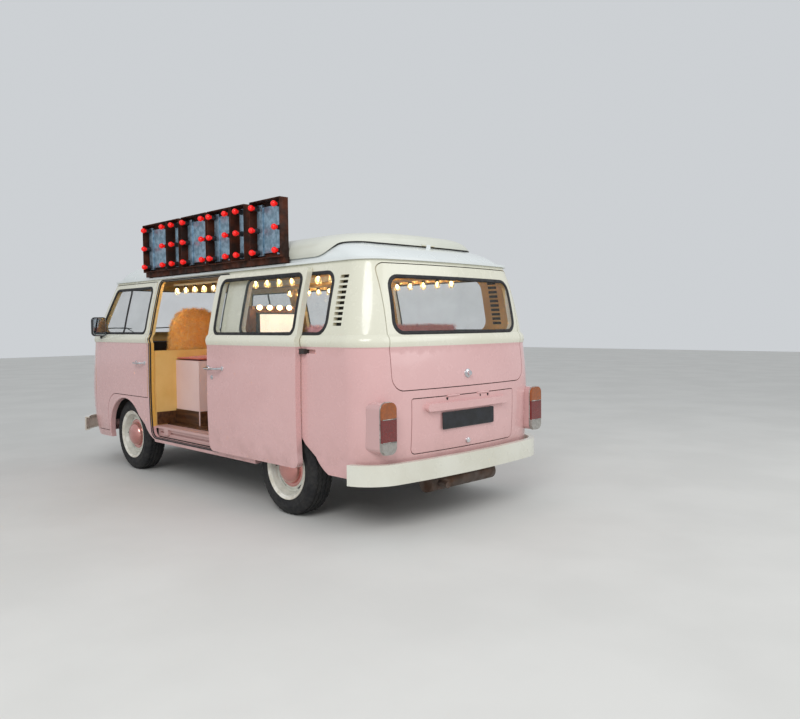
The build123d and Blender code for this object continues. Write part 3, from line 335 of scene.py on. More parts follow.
def hit(tree, start, direction):
    """First point of a tree on a ray, and the normal there, turned against the ray."""
    place, normal, _, _ = tree.ray_cast(Vector(start), Vector(direction))
    if place is None:
        return None, None
    return np.array(place), np.array(normal) * (-1 if normal.dot(Vector(direction)) > 0 else 1)


def on_side(x, z, side, tree=SKIN):
    """Point and normal of a side wall at x, z."""
    way = SIDES[side]
    return hit(tree, (x, way * FAR, z), (0, -way, 0))


def on_end(y, z, way):
    """Point and normal of the nose, way 1, or the tail, way -1, at y, z."""
    return hit(SKIN, (way * FAR, y, z), (-way, 0, 0))


def laid(points, where, tree=SKIN, lift=0.0):
    """Outline laid on the skin at a lift: where is a side's name, or 1 for the nose and -1 for the tail."""
    found = [on_side(a, b, where, tree) if where in SIDES else on_end(a, b, where) for a, b in points]
    path, normals = (np.array(rows) for rows in zip(*(row for row in found if row[0] is not None)))
    return path + normals * lift, normals


def unit(vectors):
    """Vectors divided by their lengths."""
    return vectors / np.linalg.norm(vectors, axis=-1, keepdims=True)


def rounded(corners, steps=6):
    """Closed outline from corners (a, b, radius), each with an arc tangent to both of its edges.

    The arc's centre lies radius / sin(half the corner) from the corner, on the line that halves it.
    """
    places = np.array(corners, float)[:, :2]
    outline = []
    for i, (here, (_, _, radius)) in enumerate(zip(places, corners)):
        if radius == 0:
            outline.append(here[None])
            continue
        before = unit(places[i - 1] - here)
        after = unit(places[(i + 1) % len(places)] - here)
        half = np.arccos(before @ after) / 2
        centre = here + unit(before + after) * radius / sin(half)
        first = here + before * radius / np.tan(half) - centre
        last = here + after * radius / np.tan(half) - centre
        angle = atan2(first[0] * last[1] - first[1] * last[0], first @ last)
        t = angle * np.linspace(0, 1, steps + 1)[:, None]
        outline.append(centre + first * np.cos(t) + np.array([-first[1], first[0]]) * np.sin(t))
    return np.concatenate(outline)


def dense(outline, spacing=0.04):
    """Same closed outline with its long straight runs divided."""
    ahead = np.roll(outline, -1, 0)
    counts = np.maximum(1, (np.linalg.norm(ahead - outline, axis=1) / spacing).astype(int))
    return np.concatenate([a + (b - a) * np.arange(n)[:, None] / n
                           for a, b, n in zip(outline, ahead, counts)])


def grown(outline, amount):
    """Closed outline moved outwards: point + amount times the edge direction turned by a right angle."""
    before, after = np.roll(outline, 1, 0), np.roll(outline, -1, 0)
    way = np.sign(np.sum(before[:, 0] * outline[:, 1] - outline[:, 0] * before[:, 1]))
    along = unit(after - before)
    return outline + np.stack([along[:, 1], -along[:, 0]], 1) * amount * way


def half_round(width, height, steps=7, sunk=0.002):
    """Profile of a lip: an arch of that width and height, with its foot sunk in what it lies on."""
    turns = np.linspace(0, pi, steps)
    arch = np.stack([width / 2 * np.cos(turns), height * np.sin(turns)], 1)
    return np.vstack([[width / 2, -sunk], arch, [-width / 2, -sunk]])


def grid_faces(rows, columns, closed_rows=False, closed_columns=False):
    """Quads of a grid of points, row after row; a closed way joins its last line to its first."""
    i, j = np.meshgrid(np.arange(rows - (not closed_rows)), np.arange(columns - (not closed_columns)),
                       indexing="ij")
    near, far, beside = i * columns, (i + 1) % rows * columns, (j + 1) % columns
    return np.stack([near + j, near + beside, far + beside, far + j], -1).reshape(-1, 4).tolist()


def sweep(path, profile, normals, closed=True):
    """Profile (across, out) carried along a path: point = path + across (t x n) + out n.

    The tangent t joins the points before and after, and n is the given normal less its part along t.
    """
    path, normals = np.array(path, float), np.array(normals, float)
    before, after = np.roll(path, 1, 0), np.roll(path, -1, 0)
    if not closed:
        before[0], after[-1] = path[0], path[-1]
    t = unit(after - before)
    n = unit(normals - t * np.sum(normals * t, axis=1, keepdims=True))
    across, out = profile[None, :, :1], profile[None, :, 1:]
    points = path[:, None] + np.cross(t, n)[:, None] * across + n[:, None] * out
    faces = grid_faces(len(path), len(profile), closed, True)
    if not closed:
        ends = np.arange(len(path) * len(profile)).reshape(len(path), -1)[[0, -1]].tolist()
        faces += [ends[0][::-1], ends[1]]
    return points.reshape(-1, 3), faces


def piece(name, points, faces, material, body="root", smooth=True):
    """New mesh object that rides on a body, or on none yet; a closed one's faces are turned outwards."""
    mesh = bpy.data.meshes.new(name)
    mesh.from_pydata(np.asarray(points, float).tolist(), [], faces)
    shape = bmesh.new()
    shape.from_mesh(mesh)
    bmesh.ops.remove_doubles(shape, verts=shape.verts, dist=1e-6)
    if all(edge.is_manifold for edge in shape.edges):
        bmesh.ops.recalc_face_normals(shape, faces=shape.faces)
    shape.to_mesh(mesh)
    shape.free()
    mesh.validate()
    mesh.polygons.foreach_set("use_smooth", [smooth] * len(mesh.polygons))
    mesh.update()
    obj = bpy.data.objects.new(name, mesh)
    bpy.context.scene.collection.objects.link(obj)
    mesh.materials.append(material)
    if body:
        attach(obj, body)
    return obj


# Weathered rubber is a dull black, a little greyer where the sun has been at it.
RUBBER = surface("window_rubber", "17171A", "232326", (0.55, 0.75), 83.3, 2.5, 0.15)
PANE_Z = (1.242, 1.632)
SLIDER_SHIFT = -1.027
DOOR_PANE = rounded([(0.760, PANE_Z[0], 0.05), (1.662, PANE_Z[0], 0.05), (1.462, PANE_Z[1], 0.05),
                     (0.760, PANE_Z[1], 0.05)])
MIDDLE_PANE = rounded([(-0.417, PANE_Z[0], 0.05), (0.563, PANE_Z[0], 0.05), (0.563, PANE_Z[1], 0.05),
                       (-0.417, PANE_Z[1], 0.05)])
QUARTER_PANE = rounded([(-1.720, PANE_Z[0], 0.09), (-0.740, PANE_Z[0], 0.05), (-0.740, PANE_Z[1], 0.05),
                        (-1.720, PANE_Z[1], 0.075)])
REAR_PANE = rounded([(-0.600, 1.246, 0.07), (0.600, 1.246, 0.07), (0.588, 1.594, 0.07),
                     (-0.588, 1.594, 0.07)])
WINDSCREEN = rounded([(-0.725, 1.238, 0.11), (0.725, 1.238, 0.11), (0.640, 1.662, 0.10),
                      (-0.640, 1.662, 0.10)])
for name, outline, where, tree, body in (
        ("door_window_left", DOOR_PANE, "left", SKIN, "door_left"),
        ("door_window_right", DOOR_PANE, "right", SKIN, "door_right"),
        ("slider_window", MIDDLE_PANE + [SLIDER_SHIFT, 0], "left", SLIDER, "root"),
        ("middle_window_right", MIDDLE_PANE, "right", SKIN, "root"),
        ("quarter_window_left", QUARTER_PANE, "left", SKIN, "root"),
        ("quarter_window_right", QUARTER_PANE, "right", SKIN, "root"),
        ("rear_window", REAR_PANE, -1, SKIN, "tailgate"),
        ("windscreen", WINDSCREEN, 1, SKIN, "root")):
    path, normals = laid(grown(dense(outline), 0.004), where, tree)
    rubber = sweep(path, half_round(0.026, 0.006, 7, 0.003), normals)
    sharpen(piece(f"{name}_rubber", *rubber, RUBBER, body), 50)

# Door, tailgate and lid seals. Tubes of black sponge rubber, glued in the rebates 26 mm behind the skin, so
# that each shut line reads dark. The doorway's own seal stands nearer to the skin, inside a rubber lip.
SEAL_OUTWARD = 0.003
DOOR_GAP = rounded([(1.765, 0.325, 0.025), (1.765, 1.165, 0), (1.748, 1.235, 0), (1.520, 1.688, 0.035),
                    (0.690, 1.688, 0.025), (0.690, 0.683, 0.015), (1.5105, 0.683, 0.185),
                    (1.5105, 0.325, 0.012)])
TAILGATE_GAP = rounded([(-0.662, 0.882, 0.095), (0.662, 0.882, 0.095), (0.662, 1.684, 0.06),
                        (-0.662, 1.684, 0.06)])
ENGINE_GAP = rounded([(-0.515, 0.478, 0.04), (0.515, 0.478, 0.04), (0.515, 0.834, 0.018),
                      (-0.515, 0.834, 0.018)])
DOORWAY = rounded([(-0.470, 0.350, 0.06), (0.650, 0.350, 0.06), (0.650, 1.684, 0.04), (-0.470, 1.684, 0.04)])


def circle(radius, steps=12, flat=1.0):
    """Closed round profile, (r cos a, flat r sin a)."""
    turns = np.arange(steps) * 2 * pi / steps
    return np.stack([radius * np.cos(turns), flat * radius * np.sin(turns)], 1)


for name, outline, where, depth in (
        ("door_seal_left", DOOR_GAP, "left", 0.026), ("door_seal_right", DOOR_GAP, "right", 0.026),
        ("tailgate_seal", TAILGATE_GAP, -1, 0.026), ("engine_lid_seal", ENGINE_GAP, -1, 0.026),
        ("doorway_seal", DOORWAY, "left", 0.010)):
    path, normals = laid(grown(dense(outline), SEAL_OUTWARD), where, SKIN, -depth)
    piece(name, *sweep(path, circle(0.0065, 8, 1.3), normals), RUBBER)
path, normals = laid(grown(dense(DOORWAY), 0.007), "left")
piece("doorway_lip", *sweep(path, half_round(0.012, 0.005), normals), RUBBER)

# Tyres. Moulded radial tyres of 640 mm, with a bulged side wall, a bead line, shoulder blocks and four zigzag
# grooves. A white rubber ring is clipped between the bead and the rim.
AXLE_X = {"front": 1.1475, "rear": -1.2525}
TRACK = {"front": 1.395, "rear": 1.455}
TYRE_RADIUS = 0.320
SIDE_WALL = [(0.178, 0.060), (0.183, 0.068), (0.192, 0.0735), (0.199, 0.0735), (0.201, 0.0765),
             (0.216, 0.0835), (0.219, 0.0865), (0.222, 0.0850), (0.245, 0.0915), (0.262, 0.0905),
             (0.265, 0.0920), (0.268, 0.0900), (0.290, 0.0835), (0.301, 0.0790), (0.309, 0.0725)]
SHOULDER_RADIUS = 0.299
SHOULDER_CUT = 0.004
TREAD_HALF = 0.066
TREAD_CROWN = 0.004
GROOVES = (-0.048, -0.0165, 0.0165, 0.048)
GROOVE_DEPTH = 0.0075
GROOVE_HALF = 0.0032
ZIGZAG = 0.0035
TYRE_STEPS = 192
RING_PROFILE = [(0.189, 0.0730), (0.192, 0.0765), (0.205, 0.0850), (0.2135, 0.0885), (0.2145, 0.0845)]

# Road rubber is grey black and almost without shine, and the white ring has yellowed in patches of 50 mm.
TYRE_RUBBER = surface("tyre_rubber", "1B1B1D", "2A2928", (0.75, 0.92), 71.4, 2.0, 0.25)
WHITE_RUBBER = surface("white_ring", "E9E6DC", "CFCABB", (0.5, 0.7), 50.0, 3.33, 0.08)


def tyre_mesh():
    """Tyre about the Y axis: side walls, and a tread of radius R - crown (y / half)^2 less its grooves.

    The grooves' middles swing sideways every second row, and each fourth row is cut at the shoulders.
    """
    across = [TREAD_HALF]
    for groove in reversed(GROOVES):
        across += [groove + reach * GROOVE_HALF for reach in (2, 1, -1, -2)]
    across.append(-TREAD_HALF)
    points = []
    for i in range(TYRE_STEPS):
        swing = ZIGZAG if i % 4 < 2 else -ZIGZAG
        cut = SHOULDER_CUT if i % 4 == 0 else 0.0
        wall = [(r - cut * (r > SHOULDER_RADIUS), y) for r, y in SIDE_WALL]
        tread = []
        for j, y in enumerate(across):
            crown = TYRE_RADIUS - TREAD_CROWN * (y / TREAD_HALF) ** 2
            if j in (0, len(across) - 1):
                tread.append((crown - cut, y))
            else:
                tread.append((crown - GROOVE_DEPTH * ((j - 1) % 4 in (1, 2)), y + swing))
        turn = 2 * pi * i / TYRE_STEPS
        rows = wall + tread + [(r, -y) for r, y in reversed(wall)]
        points += [(r * cos(turn), y, r * sin(turn)) for r, y in rows]
    return np.array(points), grid_faces(TYRE_STEPS, len(rows), True, True)


def lathe(profile, centre, axis=(0, 1, 0), steps=48, start=(1, 0, 0), ring=False):
    """Profile of (radius, along) turned about an axis: centre + r (start cos a + side sin a) + h axis.

    The side is axis x start. Ends are closed, and a ring's profile is a loop.
    """
    profile, axis, start = np.array(profile), unit(np.array(axis, float)), unit(np.array(start, float))
    turns = (np.arange(steps) * 2 * pi / steps)[:, None]
    rays = start * np.cos(turns) + np.cross(axis, start) * np.sin(turns)
    points = np.array(centre) + rays[:, None] * profile[None, :, :1] + axis * profile[None, :, 1:]
    faces = grid_faces(steps, len(profile), True, ring)
    for j in (0, len(profile) - 1):
        if not ring and profile[j, 0] > 0:
            faces.append((np.arange(steps) * len(profile) + j).tolist())
    return points.reshape(-1, 3), faces


# Wheels. A pressed steel disc with four long slots, welded in a rolled rim and sprayed in cream enamel. The
# sprung-on cap is spun steel in a metallic pink: a flat band, a step and a strong dome.
DISC = [(0.050, 0.022), (0.110, 0.022), (0.118, 0.026), (0.128, 0.036), (0.136, 0.039), (0.1425, 0.037),
        (0.1455, 0.035), (0.152, 0.0325), (0.1585, 0.0315), (0.161, 0.0325), (0.166, 0.039)]
DISC_FACE = 0.0285
SLOT_ROWS = (6, 7)
SLOT_HALF_TURN = 19.0
RIM = [(0.1905, 0.0740), (0.1905, 0.0765), (0.1875, 0.0778), (0.1835, 0.0762), (0.1800, 0.0690),
       (0.1770, 0.0610), (0.1725, 0.0560), (0.1700, 0.0480), (0.1665, 0.0390), (0.1560, 0.0250),
       (0.1550, -0.0250), (0.1700, -0.0480), (0.1770, -0.0610), (0.1835, -0.0762), (0.1905, -0.0765)]
CAP_FOOT = 0.0335
CAP = [(0.1335, 0.000), (0.1345, 0.004), (0.1320, 0.0085), (0.1240, 0.0110), (0.1150, 0.0115),
       (0.1090, 0.0095), (0.1065, 0.0080), (0.1050, 0.0120), (0.1030, 0.0240), (0.0970, 0.0370),
       (0.0860, 0.0480), (0.0710, 0.0560), (0.0540, 0.0610), (0.0350, 0.0640), (0.0160, 0.0655),
       (0.0, 0.0660)]
VALVE = ((0.152, 0.034), (0.150, 0.052), (0.146, 0.062))
WHEEL_STEPS = 144

# Coated metal gives the cap its wide highlight and a darker edge.
CAP_ENAMEL = surface("cap_enamel", "D79A92", "CF8F88", (0.16, 0.22), 111, 3.33, 0.0, metallic=0.85, coat=0.6)


def rim_enamel(end):
    """Cream enamel under dust in patches of 38 mm, and a brown black painted shade behind the disc's face,
    for the dark seen through the slots.
    """
    material, tree, shader, place = blank(f"rim_enamel_{end}")
    y = node(tree, "ShaderNodeSeparateXYZ", {"Vector": place}, "Y")
    out = node(tree, "ShaderNodeMath", {0: y}, operation="ABSOLUTE")
    face = node(tree, "ShaderNodeMath", {0: out, 1: TRACK[end] / 2 + DISC_FACE}, operation="GREATER_THAN")
    dust = noise(tree, place, 38.5, 5.0)
    film = node(tree, "ShaderNodeMapRange", {"Value": dust, "To Max": 0.35})
    cream = node(tree, "ShaderNodeMix", {0: film, 6: linear("CFCFC4"), 7: linear("A9A898")}, **COLOUR_MIX)
    peel = noise(tree, place, 2.0)
    fill(tree, shader, {
        # Inboard of the disc's face the colour 15120F is painted shade for the dark wheel behind the slots.
        "Base Color": node(tree, "ShaderNodeMix", {0: face, 6: linear("15120F"), 7: cream}, **COLOUR_MIX),
        "Roughness": node(tree, "ShaderNodeMapRange", {"Value": dust, "To Min": 0.25, "To Max": 0.4}),
        "Normal": node(tree, "ShaderNodeBump", {"Height": peel, "Strength": 0.02, "Distance": 0.0005}),
        "Coat Weight": 0.4})
    return material


def turned(profile, centre, way):
    """Open sheet turned about Y: centre + (r cos a, way h, r sin a), with a row of faces for each angle."""
    profile = np.array(profile)
    turns = (np.arange(WHEEL_STEPS) * 2 * pi / WHEEL_STEPS)[:, None]
    rays = np.hstack([np.cos(turns), np.zeros_like(turns), np.sin(turns)])
    points = rays[:, None] * profile[None, :, :1] + np.array([0, way, 0]) * profile[None, :, 1:]
    faces = np.array(grid_faces(WHEEL_STEPS, len(profile), True)).reshape(WHEEL_STEPS, -1, 4)
    return points.reshape(-1, 3) + centre, faces[..., ::way]


def thickened(obj, thickness):
    """Gives a sheet its thickness, behind its outer face."""
    wall = obj.modifiers.new("wall", "SOLIDIFY")
    wall.thickness = thickness
    wall.offset = -1.0
    return obj


quarter_turn = (np.arange(WHEEL_STEPS) + 0.5) * 360 / WHEEL_STEPS % 90 - 45
whole = (np.abs(quarter_turn) >= SLOT_HALF_TURN)[:, None] | ~np.isin(np.arange(len(DISC) - 1), SLOT_ROWS)
tyre_points, tyre_faces = tyre_mesh()
for end, x in AXLE_X.items():
    enamel = rim_enamel(end)
    for side, way in SIDES.items():
        body = f"wheel_{end}_{side}"
        centre = np.array((x, way * TRACK[end] / 2, TYRE_RADIUS))
        tyre = piece(f"road_tyre_{end}_{side}", tyre_points + centre, tyre_faces, TYRE_RUBBER, body)
        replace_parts(sharpen(tyre, 40), f"tyre_{end}_{side}")
        ring = lathe([(r, way * y) for r, y in RING_PROFILE], centre, steps=72, ring=True)
        sharpen(piece(f"white_ring_{end}_{side}", *ring, WHITE_RUBBER, body), 50)
        for name, profile, out, material, thickness, angle in (
                ("wheel_disc", DISC, 0.0, enamel, 0.0035, 35), ("wheel_rim", RIM, 0.0, enamel, 0.003, 35),
                ("hub_cap", CAP, CAP_FOOT, CAP_ENAMEL, 0.0012, 60)):
            points, faces = turned(profile, centre + (0, way * out, 0), way)
            faces = faces[whole] if profile is DISC else faces.reshape(-1, 4)
            steel = piece(f"{name}_{end}_{side}", points, faces.tolist(), material, body)
            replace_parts(sharpen(thickened(steel, thickness), angle), f"wheel_{end}_{side}")
        valve = [centre + (x_out, way * out, 0) for x_out, out in VALVE]
        piece(f"valve_{end}_{side}", *sweep(valve, circle(0.0042, 8), [(1, 0, 0)], False), RUBBER, body)

# Tail lamps. One moulded acrylic lens on each side, from the foot clear, red and amber, in a grey metal
# frame with two bars, on a pressed housing in the body's pink.
LAMP_ROWS = ((0.590, "A6A39C"), (0.729, "7A0F0C"), (0.840, "A8560F"))
TAIL_FACE_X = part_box("tail_lamps")[0][0]
LENS_DEPTH = 0.020
TAIL_FRAME = ((0.686, 0.515), (0.806, 0.515), (0.806, 0.830), (0.686, 0.830))


def tail_lens():
    """Ribbed lens in three colours by height, darker in cells of 17 mm, and pink paint behind its depth."""
    material, tree, shader, place = blank("tail_lens")
    x = node(tree, "ShaderNodeSeparateXYZ", {"Vector": place}, "X")
    z = node(tree, "ShaderNodeSeparateXYZ", {"Vector": place}, "Z")
    colour = linear(LAMP_ROWS[-1][1])
    for limit, code in reversed(LAMP_ROWS[:-1]):
        below = node(tree, "ShaderNodeMath", {0: z, 1: limit}, operation="LESS_THAN")
        colour = node(tree, "ShaderNodeMix", {0: below, 6: colour, 7: linear(code)}, **COLOUR_MIX)
    deep = node(tree, "ShaderNodeMapRange", {"Value": noise(tree, place, 16.7), "To Max": 0.2})
    colour = node(tree, "ShaderNodeMix", {0: deep, 6: colour, 7: linear("2A0E08")}, **COLOUR_MIX)
    behind = node(tree, "ShaderNodeMath", {0: x, 1: TAIL_FACE_X + LENS_DEPTH}, operation="GREATER_THAN")
    ribs = node(tree, "ShaderNodeTexWave", {"Vector": place, "Scale": 42.0}, "Fac", bands_direction="Y")
    fill(tree, shader, {
        "Base Color": node(tree, "ShaderNodeMix", {0: behind, 6: colour, 7: linear("DBB0AE")}, **COLOUR_MIX),
        "Normal": node(tree, "ShaderNodeBump", {"Height": ribs, "Strength": 0.35, "Distance": 0.002}),
        "Roughness": 0.12, "Coat Weight": 0.8, "Transmission Weight": 0.15})
    return material


# The frame is metal with a worn, half bright face.
GREY_METAL = surface("lamp_frame", "B9B7B0", "8F8D88", (0.25, 0.45), 45.5, 5.0, 0.1, metallic=0.6)
dress(tail_lens(), "tail_lamps")
for side, way in SIDES.items():
    outline = rounded([(way * y, z, 0.046) for y, z in TAIL_FRAME], 8)
    path = np.insert(outline, 0, TAIL_FACE_X + LENS_DEPTH, axis=1)
    piece(f"tail_lamp_frame_{side}", *sweep(path, circle(0.0038, 8), [(-1, 0, 0)]), GREY_METAL)
    for limit, _ in LAMP_ROWS[:-1]:
        path = [(TAIL_FACE_X - 0.0005, way * y, limit) for y in (0.690, 0.802)]
        piece(f"tail_lamp_bar_{side}_{round(limit * 1000)}",
              *sweep(path, half_round(0.006, 0.003), [(-1, 0, 0)], False), GREY_METAL)

# Front lamps. Domed fluted headlamp glass in a chromed steel ring, and an amber acrylic turn lamp above it in
# a thin chromed frame.
LAMP_FACE_X = 2.112
LAMP_Y = 0.520
LAMP_Z = 0.735
HEAD_RING = [(0.086, 0.004), (0.089, 0.012), (0.096, 0.016), (0.104, 0.012), (0.1125, 0.0), (0.114, -0.014)]
AMBER_FROM_Z = 0.9
TURN_LAMP_Y = 0.545
TURN_LAMP_Z = 1.035
TURN_LAMP_HALF = (0.086, 0.040)
CORNERS = ((-1, -1), (1, -1), (1, 1), (-1, 1))

# Chrome mirrors its surroundings and is a little duller in patches of 19 mm.
CHROME = surface("chrome_plate", "E8E8EA", "C9CACD", (0.05, 0.16), 55.6, 3.33, 0.02, metallic=1.0)


def front_lens():
    """Fluted glass that is clear and half reflecting low down, and amber above a height."""
    material, tree, shader, place = blank("front_lens")
    z = node(tree, "ShaderNodeSeparateXYZ", {"Vector": place}, "Z")
    high = node(tree, "ShaderNodeMath", {0: z, 1: AMBER_FROM_Z}, operation="GREATER_THAN")
    flutes = node(tree, "ShaderNodeTexWave", {"Vector": place, "Scale": 30.0}, "Fac", bands_direction="Y")
    fill(tree, shader, {
        "Base Color": node(tree, "ShaderNodeMix", {0: high, 6: linear("DDE3E8"), 7: linear("D9701A")},
                           **COLOUR_MIX),
        "Normal": node(tree, "ShaderNodeBump", {"Height": flutes, "Strength": 0.4, "Distance": 0.003}),
        "Roughness": 0.12, "Metallic": 0.35, "Coat Weight": 1.0})
    return material


dress(front_lens(), "front_lamps")
for side, way in SIDES.items():
    centre = (LAMP_FACE_X, way * LAMP_Y, LAMP_Z)
    piece(f"headlamp_ring_{side}", *lathe(HEAD_RING, centre, (1, 0, 0), 56, (0, 1, 0), True), CHROME)
    outline = rounded([(way * TURN_LAMP_Y + a * TURN_LAMP_HALF[0], TURN_LAMP_Z + b * TURN_LAMP_HALF[1], 0.016)
                       for a, b in CORNERS], 5)
    path, normals = laid(outline, 1)
    piece(f"turn_lamp_frame_{side}", *sweep(path, circle(0.0045, 8), normals), CHROME)

# Door handles and locks. Chromed castings: a grip between two feet with a lock button ahead of it, a pull
# handle on the sliding door, and turned lock cylinders in the lids.
HANDLE_Z = 0.985
HANDLE_FOOT = [(0.0, 0.009), (0.013, 0.009), (0.017, 0.005), (0.018, -0.003)]
LOCK_BUTTON = [(0.0, 0.016), (0.0085, 0.016), (0.011, 0.013), (0.0115, -0.002)]


def joined(parts):
    """One set of points and faces from several."""
    points, faces = [], []
    for part_points, part_faces in parts:
        count = len(points)
        points.extend(part_points)
        faces.extend([count + i for i in face] for face in part_faces)
    return points, faces


def pull_handle(name, front_x, back_x, side, tree, body, radius=0.0085, stand=0.034):
    """Grip from foot to foot, its feet and its lock button.

    With t from 0 to 1 along it, the grip stands off by 6 mm + stand min(1, 2.2 sin(pi t)) and sags by
    4 mm sin(pi t).
    """
    way = SIDES[side]
    feet = [on_side(x, HANDLE_Z, side, tree)[0] for x in (front_x, back_x)]
    t = np.linspace(0, 1, 15)
    off = way * (0.006 + stand * np.minimum(1, 2.2 * np.sin(pi * t)))
    path = feet[0] + (feet[1] - feet[0]) * t[:, None] + np.stack([0 * t, off, -0.004 * np.sin(pi * t)], 1)
    button = on_side(front_x - 0.026, HANDLE_Z, side, tree)[0]
    parts = [sweep(path, circle(radius, 10, 1.5), [(0, way, 0)], False)]
    parts += [lathe(profile, place, (0, way, 0), 20)
              for profile, place in ((HANDLE_FOOT, feet[0]), (HANDLE_FOOT, feet[1]), (LOCK_BUTTON, button))]
    return sharpen(piece(name, *joined(parts), CHROME, body))


pull_handle("door_handle_left", 0.895, 0.735, "left", SKIN, "door_left")
pull_handle("door_handle_right", 0.895, 0.735, "right", SKIN, "door_right")
pull_handle("slider_handle", -0.400, -0.600, "left", SLIDER, "root", 0.010, 0.040)
for name, (place, normal), steps, start, body, profile in (
        ("slider_lock", on_side(-0.455, 0.915, "left", SLIDER), 24, (1, 0, 0), "root",
         [(0.0, 0.006), (0.004, 0.0065), (0.012, 0.006), (0.016, 0.003), (0.017, -0.002)]),
        ("tailgate_lock", on_end(0.0, 0.968, -1), 32, (0, 1, 0), "tailgate",
         [(0.0, 0.030), (0.012, 0.030), (0.016, 0.027), (0.017, 0.014), (0.024, 0.011), (0.030, 0.006),
          (0.032, -0.002)]),
        ("engine_lid_lock", on_end(0.0, 0.520, -1), 28, (0, 1, 0), "engine_lid",
         [(0.0, 0.014), (0.014, 0.014), (0.018, 0.010), (0.020, -0.002)])):
    sharpen(piece(name, *lathe(profile, place, normal, steps, start), CHROME, body))


# Sliding door's carriage arm. A cast block that joins the door to the carriage in the rail behind the slot.
def cuboid(x, y, z):
    """Points and faces of a box from its lowest and highest values."""
    return list(product(x, y, z)), [[0, 1, 3, 2], [4, 6, 7, 5], [0, 4, 5, 1], [2, 3, 7, 6], [0, 2, 6, 4],
                                    [1, 5, 7, 3]]


def bevel(obj, width, segments=2):
    """Rounds the edges of a piece that are sharper than 40 degrees."""
    cut = obj.modifiers.new("bevel", "BEVEL")
    cut.width = width
    cut.segments = segments
    cut.limit_method = "ANGLE"
    cut.angle_limit = radians(40)
    cut.harden_normals = False
    return obj


bevel(piece("carriage_arm", *cuboid((-1.5505, -1.4985), (0.8285, 0.8728), (1.1095, 1.1445)), CAST_IRON,
            smooth=False), 0.003)

# Quarter light bars. A black rubber bar stands on each front door's glass, from its lower to its upper
# rubber, and leans back by 30 mm in each metre.
BAR_X = 1.182
BAR_LEAN = 0.030
heights = np.linspace(1.236, 1.640, 12)
for side in SIDES:
    path, normals = laid(np.stack([BAR_X - BAR_LEAN * (heights - 1.24), heights], 1), side)
    bar = sweep(path, half_round(0.020, 0.009), normals, False)
    sharpen(piece(f"quarter_light_bar_{side}", *bar, RUBBER, f"door_{side}"), 50)

# Arch lips. The sheet of each wheel opening is rolled over into an edge 18 mm wide, under the same paint.
LIP_RADIUS = 0.346
LIP_FROM_Y = 0.7
turns = np.radians(np.linspace(-2, 126, 40))
for end, x in AXLE_X.items():
    for side in SIDES:
        arch = np.stack([x + LIP_RADIUS * np.cos(turns), TYRE_RADIUS + LIP_RADIUS * np.sin(turns)], 1)
        path, normals = laid(arch, side)
        outer = np.abs(path[:, 1]) > LIP_FROM_Y
        lip = sweep(path[outer], half_round(0.018, 0.005), normals[outer], False)
        sharpen(piece(f"arch_lip_{end}_{side}", *lip, PAINT), 50)

# Fuel flap. A pressed lid on the right, low behind the last window pillar, with a round pull. Its gap is a
# thin black strip of the rubber material on the skin, a painted shade line.
FLAP = rounded([(-1.085, 0.905, 0.022), (-0.925, 0.905, 0.022), (-0.925, 1.065, 0.022),
                (-1.085, 1.065, 0.022)])
path, normals = laid(FLAP, "right")
piece("fuel_flap_gap_painted_shade", *sweep(path, half_round(0.0035, 0.0006, 5), normals), RUBBER)
pull = lathe([(0.0, 0.0040), (0.005, 0.0038), (0.0085, 0.0025), (0.009, -0.002)],
             *on_side(-0.945, 0.985, "right"), 20)
sharpen(piece("fuel_flap_pull", *pull, PAINT))

# Number plates. Blank sheets of pressed aluminium with a raised rim: one under the hood of the engine lid,
# and one on the front bumper.
PLATE = (0.520, 0.111)
PLATE_RINGS = ((0.0, 0.0), (0.0, 0.0030), (-0.003, 0.0042), (-0.006, 0.0030), (-0.008, 0.0030))


def stacked(rings):
    """Rings of points joined into one closed skin, with the first and the last one filled."""
    points = np.concatenate(rings)
    ends = np.arange(len(points)).reshape(len(rings), -1)
    return points, grid_faces(*ends.shape, False, True) + [ends[-1].tolist(), ends[0][::-1].tolist()]


# Black enamel on the plates is smooth, with a soft shine.
BLACK_ENAMEL = surface("plate_black", "16171A", "202228", (0.3, 0.45), 55.6, 3.33, 0.05)
plate_outline = rounded([(a * PLATE[0] / 2, b * PLATE[1] / 2, 0.010) for a, b in CORNERS])
for name, x, z, way, body in (
        ("rear_plate", on_end(0.0, 0.668, -1)[0][0] - 0.0045, 0.672, -1, "engine_lid"),
        ("front_plate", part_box("front_bumper")[1][0] + 0.0004, 0.365, 1, "root")):
    rings = [np.insert(grown(plate_outline, size) + [0, z], 0, x + way * out, axis=1)
             for size, out in PLATE_RINGS]
    sharpen(piece(name, *stacked(rings), BLACK_ENAMEL, body))

# Door mirrors. Housings and arms of moulded black plastic on the front doors, with a glass pane in each.
MIRROR_Y = 0.912
MIRROR_Z = 1.302
MIRROR_HALF = (0.058, 0.080)
MIRROR_RINGS = ((0.003, -0.001), (0.001, 0.0015), (-0.002, 0.0012), (-0.006, 0.0012))

# Moulded plastic is black with a fine grain and a soft shine, and the mirror reflects all with a cool tint.
PLASTIC = surface("black_plastic", "1A1A1C", "242427", (0.45, 0.6), 100, 1.67, 0.2)
MIRROR_GLASS = surface("mirror_glass", "C8D0D6", "B9C2C9", (0.02, 0.04), 200, 20.0, 0.0, metallic=1.0)
dress(PLASTIC, "mirror_left", "mirror_right")
for side, way in SIDES.items():
    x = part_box(f"mirror_{side}")[0][0]
    outline = rounded([(way * (MIRROR_Y + a * MIRROR_HALF[0]), MIRROR_Z + b * MIRROR_HALF[1], 0.028)
                       for a, b in CORNERS])
    rings = [np.insert(grown(outline, size), 0, x - out, axis=1) for size, out in MIRROR_RINGS]
    piece(f"mirror_glass_{side}", *stacked(rings), MIRROR_GLASS, f"door_{side}")
